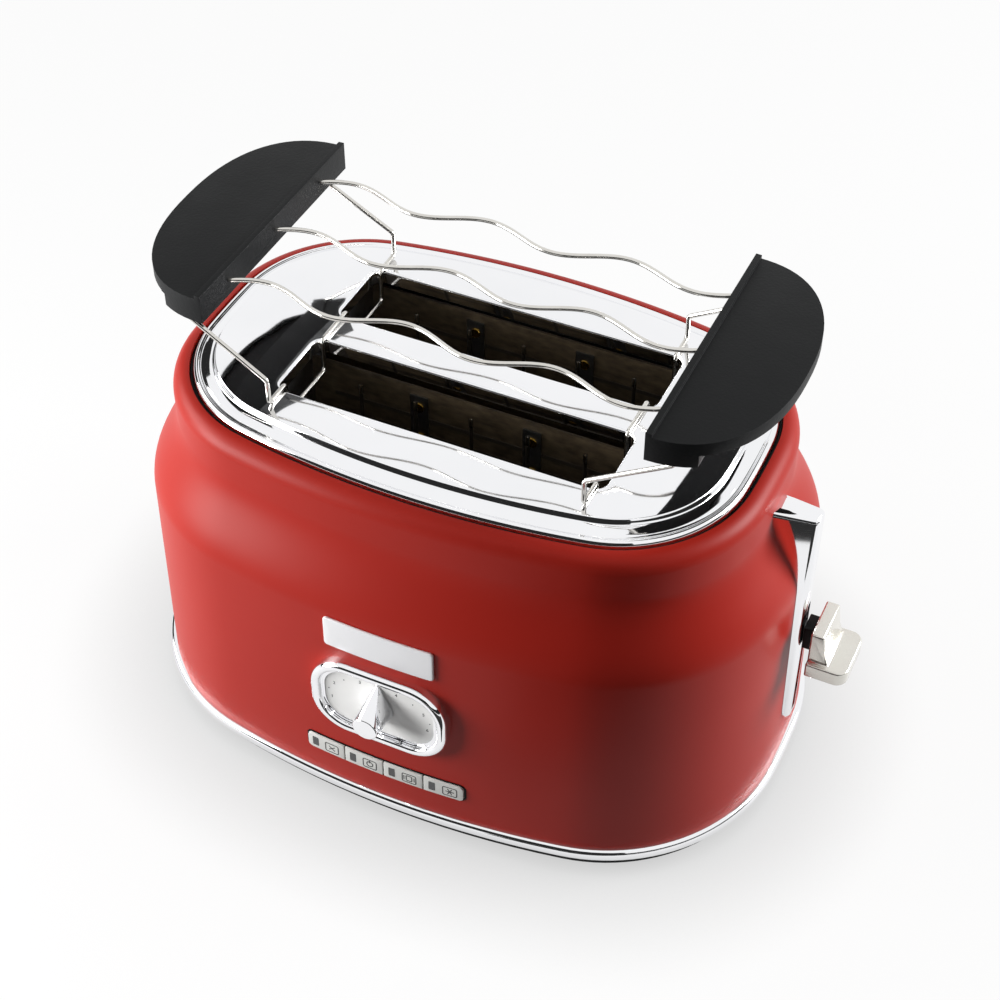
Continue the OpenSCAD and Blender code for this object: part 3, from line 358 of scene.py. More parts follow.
class Bench:
    """Blender's modelling operators, used as by hand."""

    @staticmethod
    def only(obj: Piece) -> None:
        """Selects one object and makes it the active one.

        Args:
            obj: The object.
        """
        bpy.ops.object.select_all(action="DESELECT")
        obj.select_set(True)
        bpy.context.view_layer.objects.active = obj

    @staticmethod
    @contextmanager
    def editing(obj: Piece, kind: str = "VERT") -> Iterator[None]:
        """Opens an object in edit mode with everything selected.

        Args:
            obj: The object.
            kind: VERT, EDGE or FACE, what selections are made of.

        Yields:
            Nothing.
        """
        Bench.only(obj)
        bpy.ops.object.mode_set(mode="EDIT")
        bpy.ops.mesh.select_mode(type=kind)
        bpy.ops.mesh.select_all(action="SELECT")
        yield
        bpy.ops.object.mode_set(mode="OBJECT")

    @staticmethod
    def choose(obj: Piece, kind: str, test: Callable[[Any], bool]) -> None:
        """Selects what passes a test, in edit mode.

        Args:
            obj: The object in edit mode.
            kind: verts, edges or faces.
            test: Says whether one of them is selected.
        """
        bpy.ops.mesh.select_all(action="DESELECT")
        mesh = bmesh.from_edit_mesh(obj.data)
        for part in getattr(mesh, kind):
            if test(part):
                part.select_set(True)
        bmesh.update_edit_mesh(obj.data)

    @staticmethod
    def started(name: str) -> Piece:
        """Names the primitive that was just added.

        Args:
            name: The piece's name.

        Returns:
            The object.
        """
        obj = bpy.context.object
        obj.name = obj.data.name = name
        return obj

    @staticmethod
    def settle(obj: Piece) -> Piece:
        """Puts an object's place, turn and scale into its mesh.

        Args:
            obj: The object.

        Returns:
            The same object.
        """
        Bench.only(obj)
        bpy.ops.object.transform_apply(location=True, rotation=True, scale=True)
        return obj

    @staticmethod
    def pull(move: Sequence[float]) -> None:
        """Extrudes what is selected, in edit mode, by a move in metres."""
        bpy.ops.mesh.extrude_region_move(TRANSFORM_OT_translate={"value": move})

    @staticmethod
    def outward(join: float = 0.0) -> None:
        """Turns all faces outwards, in edit mode.

        Args:
            join: Vertices nearer than this are joined first, in metres.
        """
        bpy.ops.mesh.select_all(action="SELECT")
        if join:
            bpy.ops.mesh.remove_doubles(threshold=join)
        bpy.ops.mesh.normals_make_consistent(inside=False)

    @staticmethod
    def chain(name: str, points: Sequence[Vector], closed: bool = False) -> Piece:
        """Draws a line of edges by extruding one vertex from point to point.

        Args:
            name: The piece's name.
            points: The points.
            closed: Whether the last point joins the first.

        Returns:
            The line's object.
        """
        bpy.ops.mesh.primitive_plane_add(size=MM)
        obj = Bench.started(name)
        with Bench.editing(obj):
            bpy.ops.mesh.merge(type="CENTER")
            bpy.ops.transform.translate(value=points[0])
            for here, there in zip(points, points[1:]):
                Bench.pull(there - here)
            if closed:
                Bench.choose(obj, "verts", lambda v: len(v.link_edges) == 1)
                bpy.ops.mesh.edge_face_add()
        return obj

    @staticmethod
    def wire(name: str, paths: Sequence[Sequence[Vector]], diameter: float) -> Piece:
        """Draws round wires along paths.

        Args:
            name: The piece's name.
            paths: One row of points for each wire.
            diameter: The wire's diameter in metres.

        Returns:
            The wires, as one mesh.
        """
        lines = [Bench.chain(name, path) for path in paths]
        Bench.joined(lines, name)
        bpy.ops.object.convert(target="CURVE")
        curve = bpy.context.object
        curve.data.bevel_depth = diameter / 2
        curve.data.bevel_resolution = 3
        curve.data.use_fill_caps = True
        bpy.ops.object.convert(target="MESH")
        obj = Bench.started(name)
        with Bench.editing(obj):
            Bench.outward(FINE)
        return Bench.smooth(obj, 60)

    @staticmethod
    def joined(parts: Sequence[Piece], name: str) -> Piece:
        """Joins several objects into one.

        Args:
            parts: The objects.
            name: The joined piece's name.

        Returns:
            The joined object.
        """
        Bench.only(parts[0])
        for part in parts:
            part.select_set(True)
        if len(parts) > 1:
            bpy.ops.object.join()
        return Bench.started(name)

    @staticmethod
    def modify(obj: Piece, kind: str, **settings: Any) -> Piece:
        """Adds a modifier and applies it.

        Args:
            obj: The object.
            kind: The modifier's type.
            **settings: The modifier's attributes.

        Returns:
            The same object.
        """
        Bench.only(obj)
        modifier = obj.modifiers.new(kind.lower(), kind)
        for key, setting in settings.items():
            setattr(modifier, key, setting)
        bpy.ops.object.modifier_apply(modifier=modifier.name)
        return obj

    @staticmethod
    def smooth(obj: Piece, angle: float = 35) -> Piece:
        """Shades an object smooth, apart from its sharp edges.

        Args:
            obj: The object.
            angle: Edges sharper than this stay sharp, in degrees.

        Returns:
            The same object.
        """
        Bench.only(obj)
        bpy.ops.object.shade_smooth_by_angle(angle=math.radians(angle))
        return obj

    @staticmethod
    def plate(name: str, width: float, height: float, radius: float, place: Vector,
              front: bool = False, segments: int = 8) -> Piece:
        """Adds a flat rounded plate.

        Args:
            name: The piece's name.
            width: Size along X, in metres.
            height: Size along Y, or along Z if it faces the front.
            radius: Corner radius.
            place: The plate's middle.
            front: Whether it faces the front instead of up.
            segments: Steps round a corner.

        Returns:
            The plate, one face.
        """
        turn = FRONT if front else (0, 0, 0)
        bpy.ops.mesh.primitive_plane_add(size=1, location=place, rotation=turn)
        obj = Bench.started(name)
        obj.scale = (width, height, 1)
        Bench.settle(obj)
        with Bench.editing(obj):
            bpy.ops.mesh.bevel(affect="VERTICES", offset=radius, segments=segments)
            bpy.ops.mesh.remove_doubles(threshold=FINE)
        return obj

    @staticmethod
    def terrace(obj: Piece, steps: Sequence[Pair]) -> None:
        """Insets an object's selected face again and again, along a profile.

        Args:
            obj: The object in edit mode, with the face selected.
            steps: Profile points, as distance inwards and height, in metres.
        """
        for (in_a, up_a), (in_b, up_b) in zip(steps, steps[1:]):
            if in_b - in_a > FINE:
                bpy.ops.mesh.inset(thickness=in_b - in_a, depth=up_b - up_a)
            else:
                mesh = bmesh.from_edit_mesh(obj.data)
                normal = next(f.normal.copy() for f in mesh.faces if f.select)
                Bench.pull(normal * (up_b - up_a))

    @staticmethod
    def rounded(obj: Piece, width: float, segments: int, limit: float) -> None:
        """Rounds an object's edges of more than a limit in degrees, by a width in metres."""
        Bench.modify(obj, "BEVEL", width=width, segments=segments, limit_method="ANGLE",
                     angle_limit=math.radians(limit))

    @staticmethod
    def from_node(name: str, node: Piece, bevel: float = 0.0, segments: int = 3) -> Piece:
        """Copies a CAD node, merges its triangles and rounds its edges.

        Args:
            name: The piece's name.
            node: The CAD node's object.
            bevel: Width of the rounding, in metres.
            segments: Steps of the rounding.

        Returns:
            The new piece.
        """
        Bench.only(node)
        bpy.ops.object.duplicate()
        obj = Bench.started(name)
        obj.parent = None
        for key in [k for k in obj.keys() if k.startswith("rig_")]:
            del obj[key]
        bpy.ops.mesh.customdata_custom_splitnormals_clear()
        with Bench.editing(obj):
            bpy.ops.mesh.remove_doubles(threshold=JOIN)
            bpy.ops.mesh.dissolve_limited(angle_limit=math.radians(0.5))
        if bevel:
            Bench.rounded(obj, bevel, segments, 40)
        return Bench.smooth(obj)


@dataclass
class Toaster:
    """What the sub-assemblies share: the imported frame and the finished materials."""

    frame: dict[str, Any]
    used: set[str] = field(default_factory=set)

    def node(self, name: str) -> Piece:
        """The CAD node of that name."""
        return self.frame["nodes"][name]

    def place(self, obj: Piece, body: Body, slot: Slot, replaces: Sequence[str] = (),
              finish: Finish | None = None) -> None:
        """Gives a finished piece the material of its finish or of its slot, its body, and hides the nodes
        that it stands for.

        Args:
            obj: The piece.
            body: The body that it rides on.
            slot: The record's slot that it belongs to.
            replaces: CAD nodes that it stands for.
            finish: Its finish, if that isn't the slot's own.
        """
        obj.data.materials.clear()
        obj.data.materials.append((finish or FINISHES[slot]).material())
        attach(obj, body.value)
        if replaces:
            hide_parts(*replaces)
            self.used.update(replaces)
        LOG.info("%s rides on %s, %d faces", obj.name, body.value, len(obj.data.polygons))

    def dress_nodes(self) -> None:
        """Gives the CAD nodes that stay in view the finish of their slots."""
        for part in self.frame["record"]["subparts"]:
            if part["node"] in self.used:
                continue
            node = self.node(part["node"])
            node.data.materials.clear()
            heated = part["node"].startswith(HEATED)
            finish = HEATED_WIRE if heated else FINISHES[Slot(part["material_slot"])]
            node.data.materials.append(finish.material())
            LOG.info("%s keeps its CAD shape as %s", part["node"], part["material_slot"])


@dataclass(frozen=True)
class Arc:
    """One arc of the plan outline: centre and radius in millimetres, start and turn in degrees."""

    x: float
    y: float
    radius: float
    start: float
    turn: float


@dataclass
class Outline:
    """The body's plan outline, a ring of eight tangent arcs, in millimetres about the body's middle."""

    length: float = 283.0
    width: float = 195.0
    corner: float = 79.0
    side_half: float = 10.94
    end_half: float = 2.06
    step: float = 4.2
    least_steps: int = 4

    def arcs(self) -> list[Arc]:
        """Works out the arcs, from the front bow round to the left front corner.

        Returns:
            The eight arcs, counter-clockwise.
        """
        side, end = math.radians(self.side_half), math.radians(self.end_half)
        room_x, room_y = self.length / 2 - self.corner, self.width / 2 - self.corner
        flat_side, flat_end = 1 - math.cos(side), 1 - math.cos(end)
        quarter = math.sin(side) * math.sin(end) - flat_side * flat_end
        side_more = (room_x * math.sin(end) - room_y * flat_end) / quarter
        end_more = (room_y * math.sin(side) - room_x * flat_side) / quarter
        cx, cy = side_more * math.sin(side), end_more * math.sin(end)
        side_r, end_r = self.corner + side_more, self.corner + end_more
        side_c, end_c = side_r - self.width / 2, end_r - self.length / 2
        turn = 90 - self.side_half - self.end_half
        sh, eh = self.side_half, self.end_half
        return [
            Arc(0, side_c, side_r, 270 - sh, 2 * sh), Arc(cx, -cy, self.corner, 270 + sh, turn),
            Arc(-end_c, 0, end_r, 360 - eh, 2 * eh), Arc(cx, cy, self.corner, eh, turn),
            Arc(0, -side_c, side_r, 90 - sh, 2 * sh), Arc(-cx, cy, self.corner, 90 + sh, turn),
            Arc(end_c, 0, end_r, 180 - eh, 2 * eh), Arc(-cx, -cy, self.corner, 180 + eh, turn),
        ]

    def sweep(self, name: str, profile: Sequence[Pair], middle: Vector, closed: bool) -> Piece:
        """Sweeps an upright profile round the outline, one spin for each arc.

        Args:
            name: The piece's name.
            profile: Distance from the outline and height of each point, in millimetres.
            middle: The body's middle, in metres.
            closed: Whether the profile's last point joins its first.

        Returns:
            The swept ring.
        """
        arcs = self.arcs()
        first = arcs[0]
        angle = math.radians(first.start)
        points = [Vector((first.x + (first.radius + off) * math.cos(angle),
                          first.y + (first.radius + off) * math.sin(angle), up)) * MM + middle
                  for off, up in profile]
        obj = Bench.chain(name, points, closed)
        with Bench.editing(obj, "EDGE"):
            for bend in arcs:
                turn = math.radians(bend.turn)
                count = max(self.least_steps, round(turn * bend.radius / self.step))
                bpy.ops.mesh.spin(steps=count, angle=-turn, axis=(0, 0, 1),
                                  center=Vector((bend.x, bend.y, 0)) * MM + middle)
            Bench.outward(JOIN)
        return obj


@dataclass
class Housing:
    """Painted shell, the seal round its top, the bright base ring and the mirror cover. Millimetres."""

    toaster: Toaster
    outline: Outline = field(default_factory=Outline)
    seam: float = 14.5
    shoulder: float = 110.0
    neck: float = 146.0
    lip: float = 157.0
    rim: float = 162.7
    seat: float = 160.4
    crest: float = 1.9
    foot_in: float = 0.8
    taper: float = 1.8
    neck_in: float = 13.2
    lip_in: float = 7.1
    wall: float = 1.6
    flange: float = 5.0
    seal: float = 1.3
    bead: float = 3.6
    ledge: float = 4.6
    step: float = 1.6
    bead_z: float = 166.108
    ledge_z: float = 167.599
    deck: float = 169.8
    base_top: float = 8.3
    bulge: float = 2.2
    slot_len: float = 139.0
    slot_wid: float = 34.0
    slot_y: float = 25.3
    slot_r: float = 5.0
    slot_roll: float = 1.3
    collar: float = 6.0
    sheet: float = 0.9
    frame_lap: float = 3.0
    frame_gap: float = 0.2
    row_r: float = 2.9
    row_cut: float = 30.0
    cut: float = 60.0
    clear: float = 10.0
    lever_down: float = 43.0
    lever_up: float = 11.0
    gland_r: float = 6.2
    shaft_r: float = 5.0
    crown: float = 0.4
    crown_drop: float = 0.5
    ring_in: float = 4.7
    bead_share: float = 0.53
    bead_over: float = 0.4
    valley: tuple[Pair, ...] = ((0.35, -0.3), (-0.1, -0.25))
    ledge_gap: float = 0.6
    ledge_foot: float = 0.1
    step_foot: float = 0.05

    @property
    def middle(self) -> Vector:
        """The body's middle on the table, in metres."""
        low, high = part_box("base_ring")
        return Vector(((low.x + high.x) / 2, (low.y + high.y) / 2, 0))

    def skin(self) -> list[Pair]:
        """The shell's outer profile from its seam to the rim.

        Returns:
            Distance from the outline and height of each point.
        """
        waist = -self.foot_in - self.taper
        neck = waist - self.neck_in
        tall, draw = self.shoulder - self.seam, self.neck - self.shoulder
        rise = self.rim + self.crest - self.lip
        side = [(-self.foot_in - self.taper * t, self.seam + tall * t) for t in shares(8)[:-1]]
        bend = [(waist - self.neck_in * ease(t), self.shoulder + draw * t) for t in shares(20)]
        top = [(neck - self.lip_in * across, self.lip + rise * up) for across, up in arc(10)]
        return side + bend + top

    def build(self) -> None:
        """Builds and dresses the housing's pieces."""
        self._shell()
        self._seal()
        self._ring()
        self._cover()

    def _shell(self) -> None:
        """The painted shell, with the openings that the CAD shell has."""
        skin = self.skin()
        rim_off = skin[-1][0]
        under = self.seat - self.wall
        inner = [(off - self.wall, up) for off, up in reversed(skin) if up < self.lip]
        profile = skin + [(rim_off, self.seat), (rim_off - self.flange, self.seat),
                          (rim_off - self.flange, under), (inner[0][0], under)] + inner
        shell = self.outline.sweep("painted_shell", profile, self.middle, closed=True)
        for cut in self._openings():
            Bench.modify(shell, "BOOLEAN", operation="DIFFERENCE", solver="EXACT", object=cut)
            bpy.data.objects.remove(cut)
        Bench.smooth(shell, 30)
        self.toaster.place(shell, Body.CHASSIS, Slot.RED_PAINT, ["body_shell"])

    def _openings(self) -> list[Piece]:
        """Cutters for the button row, the lever, the dial's shaft and the cord gland.

        Returns:
            The cutters.
        """
        low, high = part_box("button_frame")
        middle = (low + high) / 2
        lap = 2 * (self.frame_lap - self.frame_gap) * MM
        row = Bench.plate("opening", high.x - low.x - lap, high.z - low.z - lap, self.row_r * MM,
                          Vector((middle.x, low.y - self.clear * MM, middle.z)), front=True)
        with Bench.editing(row, "FACE"):
            Bench.pull((0, self.row_cut * MM, 0))
            Bench.outward()
        low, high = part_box("lever_bar")
        low = Vector((high.x - self.cut * MM, low.y - MM, low.z - self.lever_down * MM))
        high = Vector((high.x + self.clear * MM, high.y + MM, high.z + self.lever_up * MM))
        bpy.ops.mesh.primitive_cube_add(size=1, location=(low + high) / 2)
        lever = Bench.started("opening")
        lever.scale = high - low
        cutters = [row, Bench.settle(lever)]
        for node, radius in (("cord_gland", self.gland_r), ("knob_shaft", self.shaft_r)):
            low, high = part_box(node)
            bpy.ops.mesh.primitive_cylinder_add(vertices=48, radius=radius * MM, depth=self.cut * MM,
                                                location=(low + high) / 2, rotation=FRONT)
            cutters.append(Bench.settle(Bench.started("opening")))
        return cutters

    def _seal(self) -> None:
        """The black seal, with a rounded top."""
        outer = self.skin()[-1][0]
        top = self.rim + self.crown
        crown = [(outer - self.seal * t, top - self.crown_drop * (2 * t - 1) ** 2) for t in shares(6)]
        profile = [(outer - self.seal, self.seat), (outer, self.seat)] + crown
        seal = self.outline.sweep("cover_seal_ring", profile, self.middle, closed=True)
        self.toaster.place(Bench.smooth(seal), Body.CHASSIS, Slot.BLACK_RUBBER, ["cover_seal"])

    def _ring(self) -> None:
        """The bright base ring, with a round bulge."""
        half = (self.seam - self.base_top) / 2
        bulge = [(self.bulge * out, self.base_top + half * up) for up, out in arc(16, 180)]
        profile = [(-self.ring_in, self.base_top)] + bulge + [(-self.ring_in, self.seam)]
        ring = self.outline.sweep("bright_base_ring", profile, self.middle, closed=True)
        self.toaster.place(Bench.smooth(ring), Body.CHASSIS, Slot.CHROME, ["base_ring"])

    def _slot(self, side: int) -> Piece:
        """A bread slot's rolled edge and collar, open at the bottom.

        Args:
            side: -1 for the front slot, 1 for the back one.

        Returns:
            The slot's sheet.
        """
        roll = self.slot_roll
        place = self.middle + Vector((0, side * self.slot_y, self.deck)) * MM
        slot = Bench.plate("slot_edge", (self.slot_len + 2 * roll) * MM, (self.slot_wid + 2 * roll) * MM,
                           (self.slot_r + roll) * MM, place)
        curve = [(roll * MM * out, -roll * MM * down) for down, out in arc(6)]
        with Bench.editing(slot, "FACE"):
            Bench.terrace(slot, curve + [(curve[-1][0], -self.collar * MM)])
            bpy.ops.mesh.delete(type="ONLY_FACE")
        return slot

    def _cover(self) -> None:
        """The mirror cover: bead, valley, sloping ledge, steep step, deck and the two bread slots."""
        start = self.skin()[-1][0] - self.seal
        valley = start - self.bead
        ridge = valley - self.ledge
        round_in, round_up = self.bead * self.bead_share, self.bead_z + self.bead_over - self.rim
        bead = [(start - round_in * across, self.rim + round_up * up) for across, up in arc(13, 117)]
        dip = [(valley + off, self.bead_z + up) for off, up in self.valley]
        slope, foot = self.ledge_z - self.bead_z, self.ledge_z + self.step_foot
        ledge = [(valley - self.ledge_gap - (self.ledge - 2 * self.ledge_gap) * t,
                  self.bead_z + slope * (self.ledge_foot + (1 - self.ledge_foot) * t)) for t in shares(4)]
        rise = [(ridge - self.step * t, foot + (self.deck - foot) * ease(t)) for t in shares(12)]
        profile = [(start, self.seat)] + bead + dip + ledge + rise
        edge = self.outline.sweep("cover_edge", profile, self.middle, closed=False)
        cover = Bench.joined([edge, self._slot(-1), self._slot(1)], "mirror_cover")
        top = self.deck * MM
        with Bench.editing(cover, "EDGE"):
            Bench.choose(cover, "edges", lambda e: e.is_boundary
                         and all(abs(v.co.z - top) < LEVEL for v in e.verts))
            bpy.ops.mesh.fill(use_beauty=True)
            Bench.outward(JOIN)
        if next(f for f in cover.data.polygons if abs(f.normal.z) > 0.99).normal.z < 0:
            with Bench.editing(cover, "FACE"):
                bpy.ops.mesh.flip_normals()
        Bench.modify(cover, "SOLIDIFY", thickness=self.sheet * MM, offset=-1.0)
        self.toaster.place(Bench.smooth(cover, 40), Body.CHASSIS, Slot.CHROME, ["top_cover"])


@dataclass
class BunRack:
    """The lift-off rack: two handles, three wavy wires and two leg wires. Millimetres."""

    toaster: Toaster
    middle: Vector
    wire: float = 2.0
    handle_x: float = 89.6
    handle_depth: float = 40.4
    handle_half: float = 57.0
    handle_power: float = 0.851
    handle_t: float = 5.4
    hollow: float = 3.0
    wall: float = 2.4
    cap_top: float = 216.2
    lip_w: float = 2.4
    lip_rise: float = 1.6
    bar_w: float = 18.8
    bar_low: float = 205.3
    edge: float = 0.8
    edge_limit: float = 50.0
    grip: float = 8.0
    pitch: float = 36.0
    swing: float = 4.3
    wave_z: float = 211.8
    halves: int = 6
    half_steps: int = 14
    bend_in: float = 0.5
    leg_x: float = 66.2
    leg_out: float = 52.8
    leg_side: float = 2.056
    slot_out: float = 42.3
    slot_in: float = 8.3
    deck_wire: float = 171.1
    leg_drop: float = 15.3
    leg_rise: float = 11.2
    leg_top: tuple[float, float, float] = (99.2, 51.6, 209.3)
    knee_z: float = 201.9

    def build(self) -> None:
        """Builds and dresses the rack's pieces."""
        for side, sign in SIDES:
            handle = self._handle(f"{side}_rack_handle", sign)
            self.toaster.place(handle, Body.RACK, Slot.BLACK_PLASTIC, [f"rack_handle_{side}"])
        waves = Bench.wire("wavy_wires", [self._wave(k) for k in (-1, 0, 1)], self.wire * MM)
        self.toaster.place(waves, Body.RACK, Slot.WIRE, ["rack_wires"])
        for side, sign in SIDES:
            leg = Bench.wire(f"{side}_leg_wire", [self._leg(sign)], self.wire * MM)
            self.toaster.place(leg, Body.RACK, Slot.WIRE, [f"rack_leg_{side}"])

    def _handle(self, name: str, sign: int) -> Piece:
        """A handle: a D-shaped cap, hollow below, with a lip along its straight edge and a deep bar under it.

        Args:
            name: The piece's name.
            sign: 1 for the right handle, -1 for the left one.

        Returns:
            The handle, with rounded edges.
        """
        def curve(turn: float) -> Vector:
            """Finds a point of the D's edge.

            Args:
                turn: Where round the curve, from -1 to 1.

            Returns:
                The point, in metres.
            """
            angle = turn * math.pi / 2
            along = self.handle_x + self.handle_depth * max(math.cos(angle), 0.0) ** self.handle_power
            across = math.copysign(self.handle_half * abs(math.sin(angle)) ** self.handle_power, turn)
            return Vector((sign * along, across, self.cap_top - self.handle_t)) * MM + self.middle

        handle = Bench.chain(name, [curve(k / 20) for k in range(-20, 21)], closed=True)
        foot, top = (self.cap_top - self.handle_t) * MM, self.cap_top * MM
        with Bench.editing(handle, "FACE"):
            bpy.ops.mesh.edge_face_add()
            Bench.pull((0, 0, self.handle_t * MM))
            self._raise(handle, top, sign * (self.handle_x + self.lip_w), self.lip_rise)
            self._raise(handle, foot, sign * (self.handle_x + self.bar_w),
                        self.bar_low + self.handle_t - self.cap_top)
            self._choose_level(handle, foot)
            bpy.ops.mesh.inset(thickness=self.wall * MM, depth=0)
            Bench.pull((0, 0, self.hollow * MM))
            Bench.outward()
        Bench.rounded(handle, self.edge * MM, 4, self.edge_limit)
        return Bench.smooth(handle)

    def _choose_level(self, handle: Piece, level: float, reach: float = math.inf) -> None:
        """Selects a handle's flat faces at a height.

        Args:
            handle: The handle, in edit mode.
            level: The faces' height, in metres.
            reach: How far along X they may lie from the body's middle, in metres.
        """
        def fits(face: Any) -> bool:
            """Whether a face is flat, at the height and within reach."""
            off = face.calc_center_median() - Vector((self.middle.x, 0, level))
            return abs(face.normal.z) > 0.9 and abs(off.z) < LEVEL and abs(off.x) < reach

        Bench.choose(handle, "faces", fits)

    def _raise(self, handle: Piece, level: float, border: float, height: float) -> None:
        """Splits a handle's flat face along a line and moves the part inside the line up or down.

        Args:
            handle: The handle, in edit mode.
            level: The face's height, in metres.
            border: The line's place along X, about the body's middle.
            height: How far the part moves, in millimetres.
        """
        self._choose_level(handle, level)
        bpy.ops.mesh.bisect(plane_co=(border * MM + self.middle.x, 0, 0), plane_no=(1, 0, 0))
        self._choose_level(handle, level, abs(border) * MM)
        Bench.pull((0, 0, height * MM))

    def _wave(self, row: int) -> list[Vector]:
        """One wavy wire's path.

        Args:
            row: -1, 0 or 1, from front to back.

        Returns:
            The path's points, in metres.
        """
        span, end = self.handle_x - self.bend_in, self.handle_x + self.grip
        turns = math.pi * self.halves
        path = [(-end, 0.0)]
        path += [(-span + 2 * span * t, self.swing * math.sin(turns * t))
                 for t in shares(self.halves * self.half_steps)]
        path.append((end, 0.0))
        return [Vector((x, row * self.pitch + y, self.wave_z)) * MM + self.middle for x, y in path]

    def _leg(self, sign: int) -> list[Vector]:
        """One leg wire's path with rounded corners.

        Args:
            sign: 1 for the right leg, -1 for the left one.

        Returns:
            The path's points, in metres.
        """
        out, inn = self.slot_out - self.leg_side, self.slot_in + self.leg_side
        low = self.deck_wire - self.leg_drop
        top_x, top_y, top_z = self.leg_top
        half = [(top_x, top_y, top_z), (top_x, top_y, self.knee_z),
                (self.leg_x, self.leg_out, self.deck_wire + self.leg_rise),
                (self.leg_x, self.leg_out, self.deck_wire), (self.leg_x, out, self.deck_wire),
                (self.leg_x, out, low), (self.leg_x, inn, low), (self.leg_x, inn, self.deck_wire)]
        whole = half + [(x, -y, z) for x, y, z in reversed(half)]
        points = [Vector((sign * x, y, z)) for x, y, z in whole]
        path = [points[0]]
        for before, here, after in zip(points, points[1:], points[2:]):
            path += self._rounded(before, here, after)
        path.append(points[-1])
        return [p * MM + self.middle for p in path]

    def _rounded(self, before: Vector, here: Vector, after: Vector, steps: int = 8) -> list[Vector]:
        """A corner's arc.

        Args:
            before: The point before the corner.
            here: The corner.
            after: The point after it.
            steps: Steps of the arc.

        Returns:
            Points on the arc.
        """
        u, v = (before - here).normalized(), (after - here).normalized()
        half = u.angle(v) / 2
        centre = here + (u + v).normalized() * self.leg_side / math.sin(half)
        first = (here + u * self.leg_side / math.tan(half) - centre).normalized()
        last = (here + v * self.leg_side / math.tan(half) - centre).normalized()
        turn = math.pi - 2 * half
        return [centre + self.leg_side * (first * math.sin(turn * (1 - k / steps))
                                          + last * math.sin(turn * k / steps)) / math.sin(turn)
                for k in range(steps + 1)]


@dataclass
class LeverGear:
    """Lever track, stem and knob. Millimetres."""

    toaster: Toaster
    stem_edge: float = 0.4
    knob_edge: float = 0.8
    track_round: float = 2.4
    track_draft: float = 0.15
    track_sink: float = 0.4

    def build(self) -> None:
        """Builds and dresses the lever's visible pieces."""
        track = Bench.from_node("chrome_track", self.toaster.node("lever_track"))
        self._round(track)
        self._draft(track)
        self.toaster.place(track, Body.CHASSIS, Slot.CHROME, ["lever_track"])
        stem = Bench.from_node("black_stem", self.toaster.node("lever_stem"), self.stem_edge * MM, 4)
        self.toaster.place(stem, Body.CARRIAGE, Slot.BLACK_PLASTIC, ["lever_stem"])
        knob = Bench.from_node("silver_lever_knob", self.toaster.node("lever_knob"), self.knob_edge * MM, 4)
        self.toaster.place(knob, Body.CARRIAGE, Slot.SILVER_KNOB, ["lever_knob"])

    def _round(self, track: Piece) -> None:
        """Rounds the track's long edges, its top and its foot.

        Args:
            track: The track.
        """
        low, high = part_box("lever_track")
        near = 0.05 * MM
        levels = ((high.x,), (low.y, high.y), (low.z, high.z))

        def on(edge: Any, axis: int) -> bool:
            """Whether an edge lies on an outer side across an axis."""
            return any(all(abs(v.co[axis] - level) < near for v in edge.verts) for level in levels[axis])

        with Bench.editing(track, "EDGE"):
            Bench.choose(track, "edges", lambda e: sum(on(e, axis) for axis in range(3)) == 2)
            bpy.ops.mesh.bevel(affect="EDGES", offset=self.track_round * MM, segments=6)
        Bench.smooth(track, 40)

    def _draft(self, track: Piece) -> None:
        """Widens the track towards the wall and sinks its edge a little into the paint.

        Args:
            track: The track.
        """
        low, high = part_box("lever_track")
        middle = (low.y + high.y) / 2
        half = high.y - middle
        for corner in track.data.vertices:
            deep = max(0.0, high.x - self.track_round * MM - corner.co.x)
            corner.co.y = middle + (corner.co.y - middle) * (1 + self.track_draft * deep / half)
            if deep > 0:
                corner.co.x -= self.track_sink * MM
        track.data.update()


@dataclass
class GuideTips:
    """The bright tips of the bread guides' upright wires. Millimetres."""

    toaster: Toaster
    wires: int = 5
    span: float = 49.5
    length: float = 4.0
    lean: float = 0.2
    size: float = 2.0

    def build(self) -> None:
        """Builds and dresses the tips of all four guides."""
        for body, side in ((Body.FRONT_OUTER_GUIDE, -1), (Body.FRONT_INNER_GUIDE, 1),
                           (Body.BACK_INNER_GUIDE, -1), (Body.BACK_OUTER_GUIDE, 1)):
            end, row, _ = body.value.split("_")
            low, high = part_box(f"guide_{end}_{row}")
            middle = (low + high) / 2
            paths = []
            for k in range(self.wires):
                x = middle.x + self.span * MM * (2 * k / (self.wires - 1) - 1)
                foot = Vector((x, middle.y, high.z - self.length * MM))
                paths.append([foot, Vector((x, middle.y, high.z - self.lean * MM)),
                              Vector((x, middle.y + side * self.lean * MM, high.z + self.lean * MM))])
            tips = Bench.wire(f"{end}_{row}_guide_tips", paths, self.size * MM)
            self.toaster.place(tips, body, Slot.WIRE)


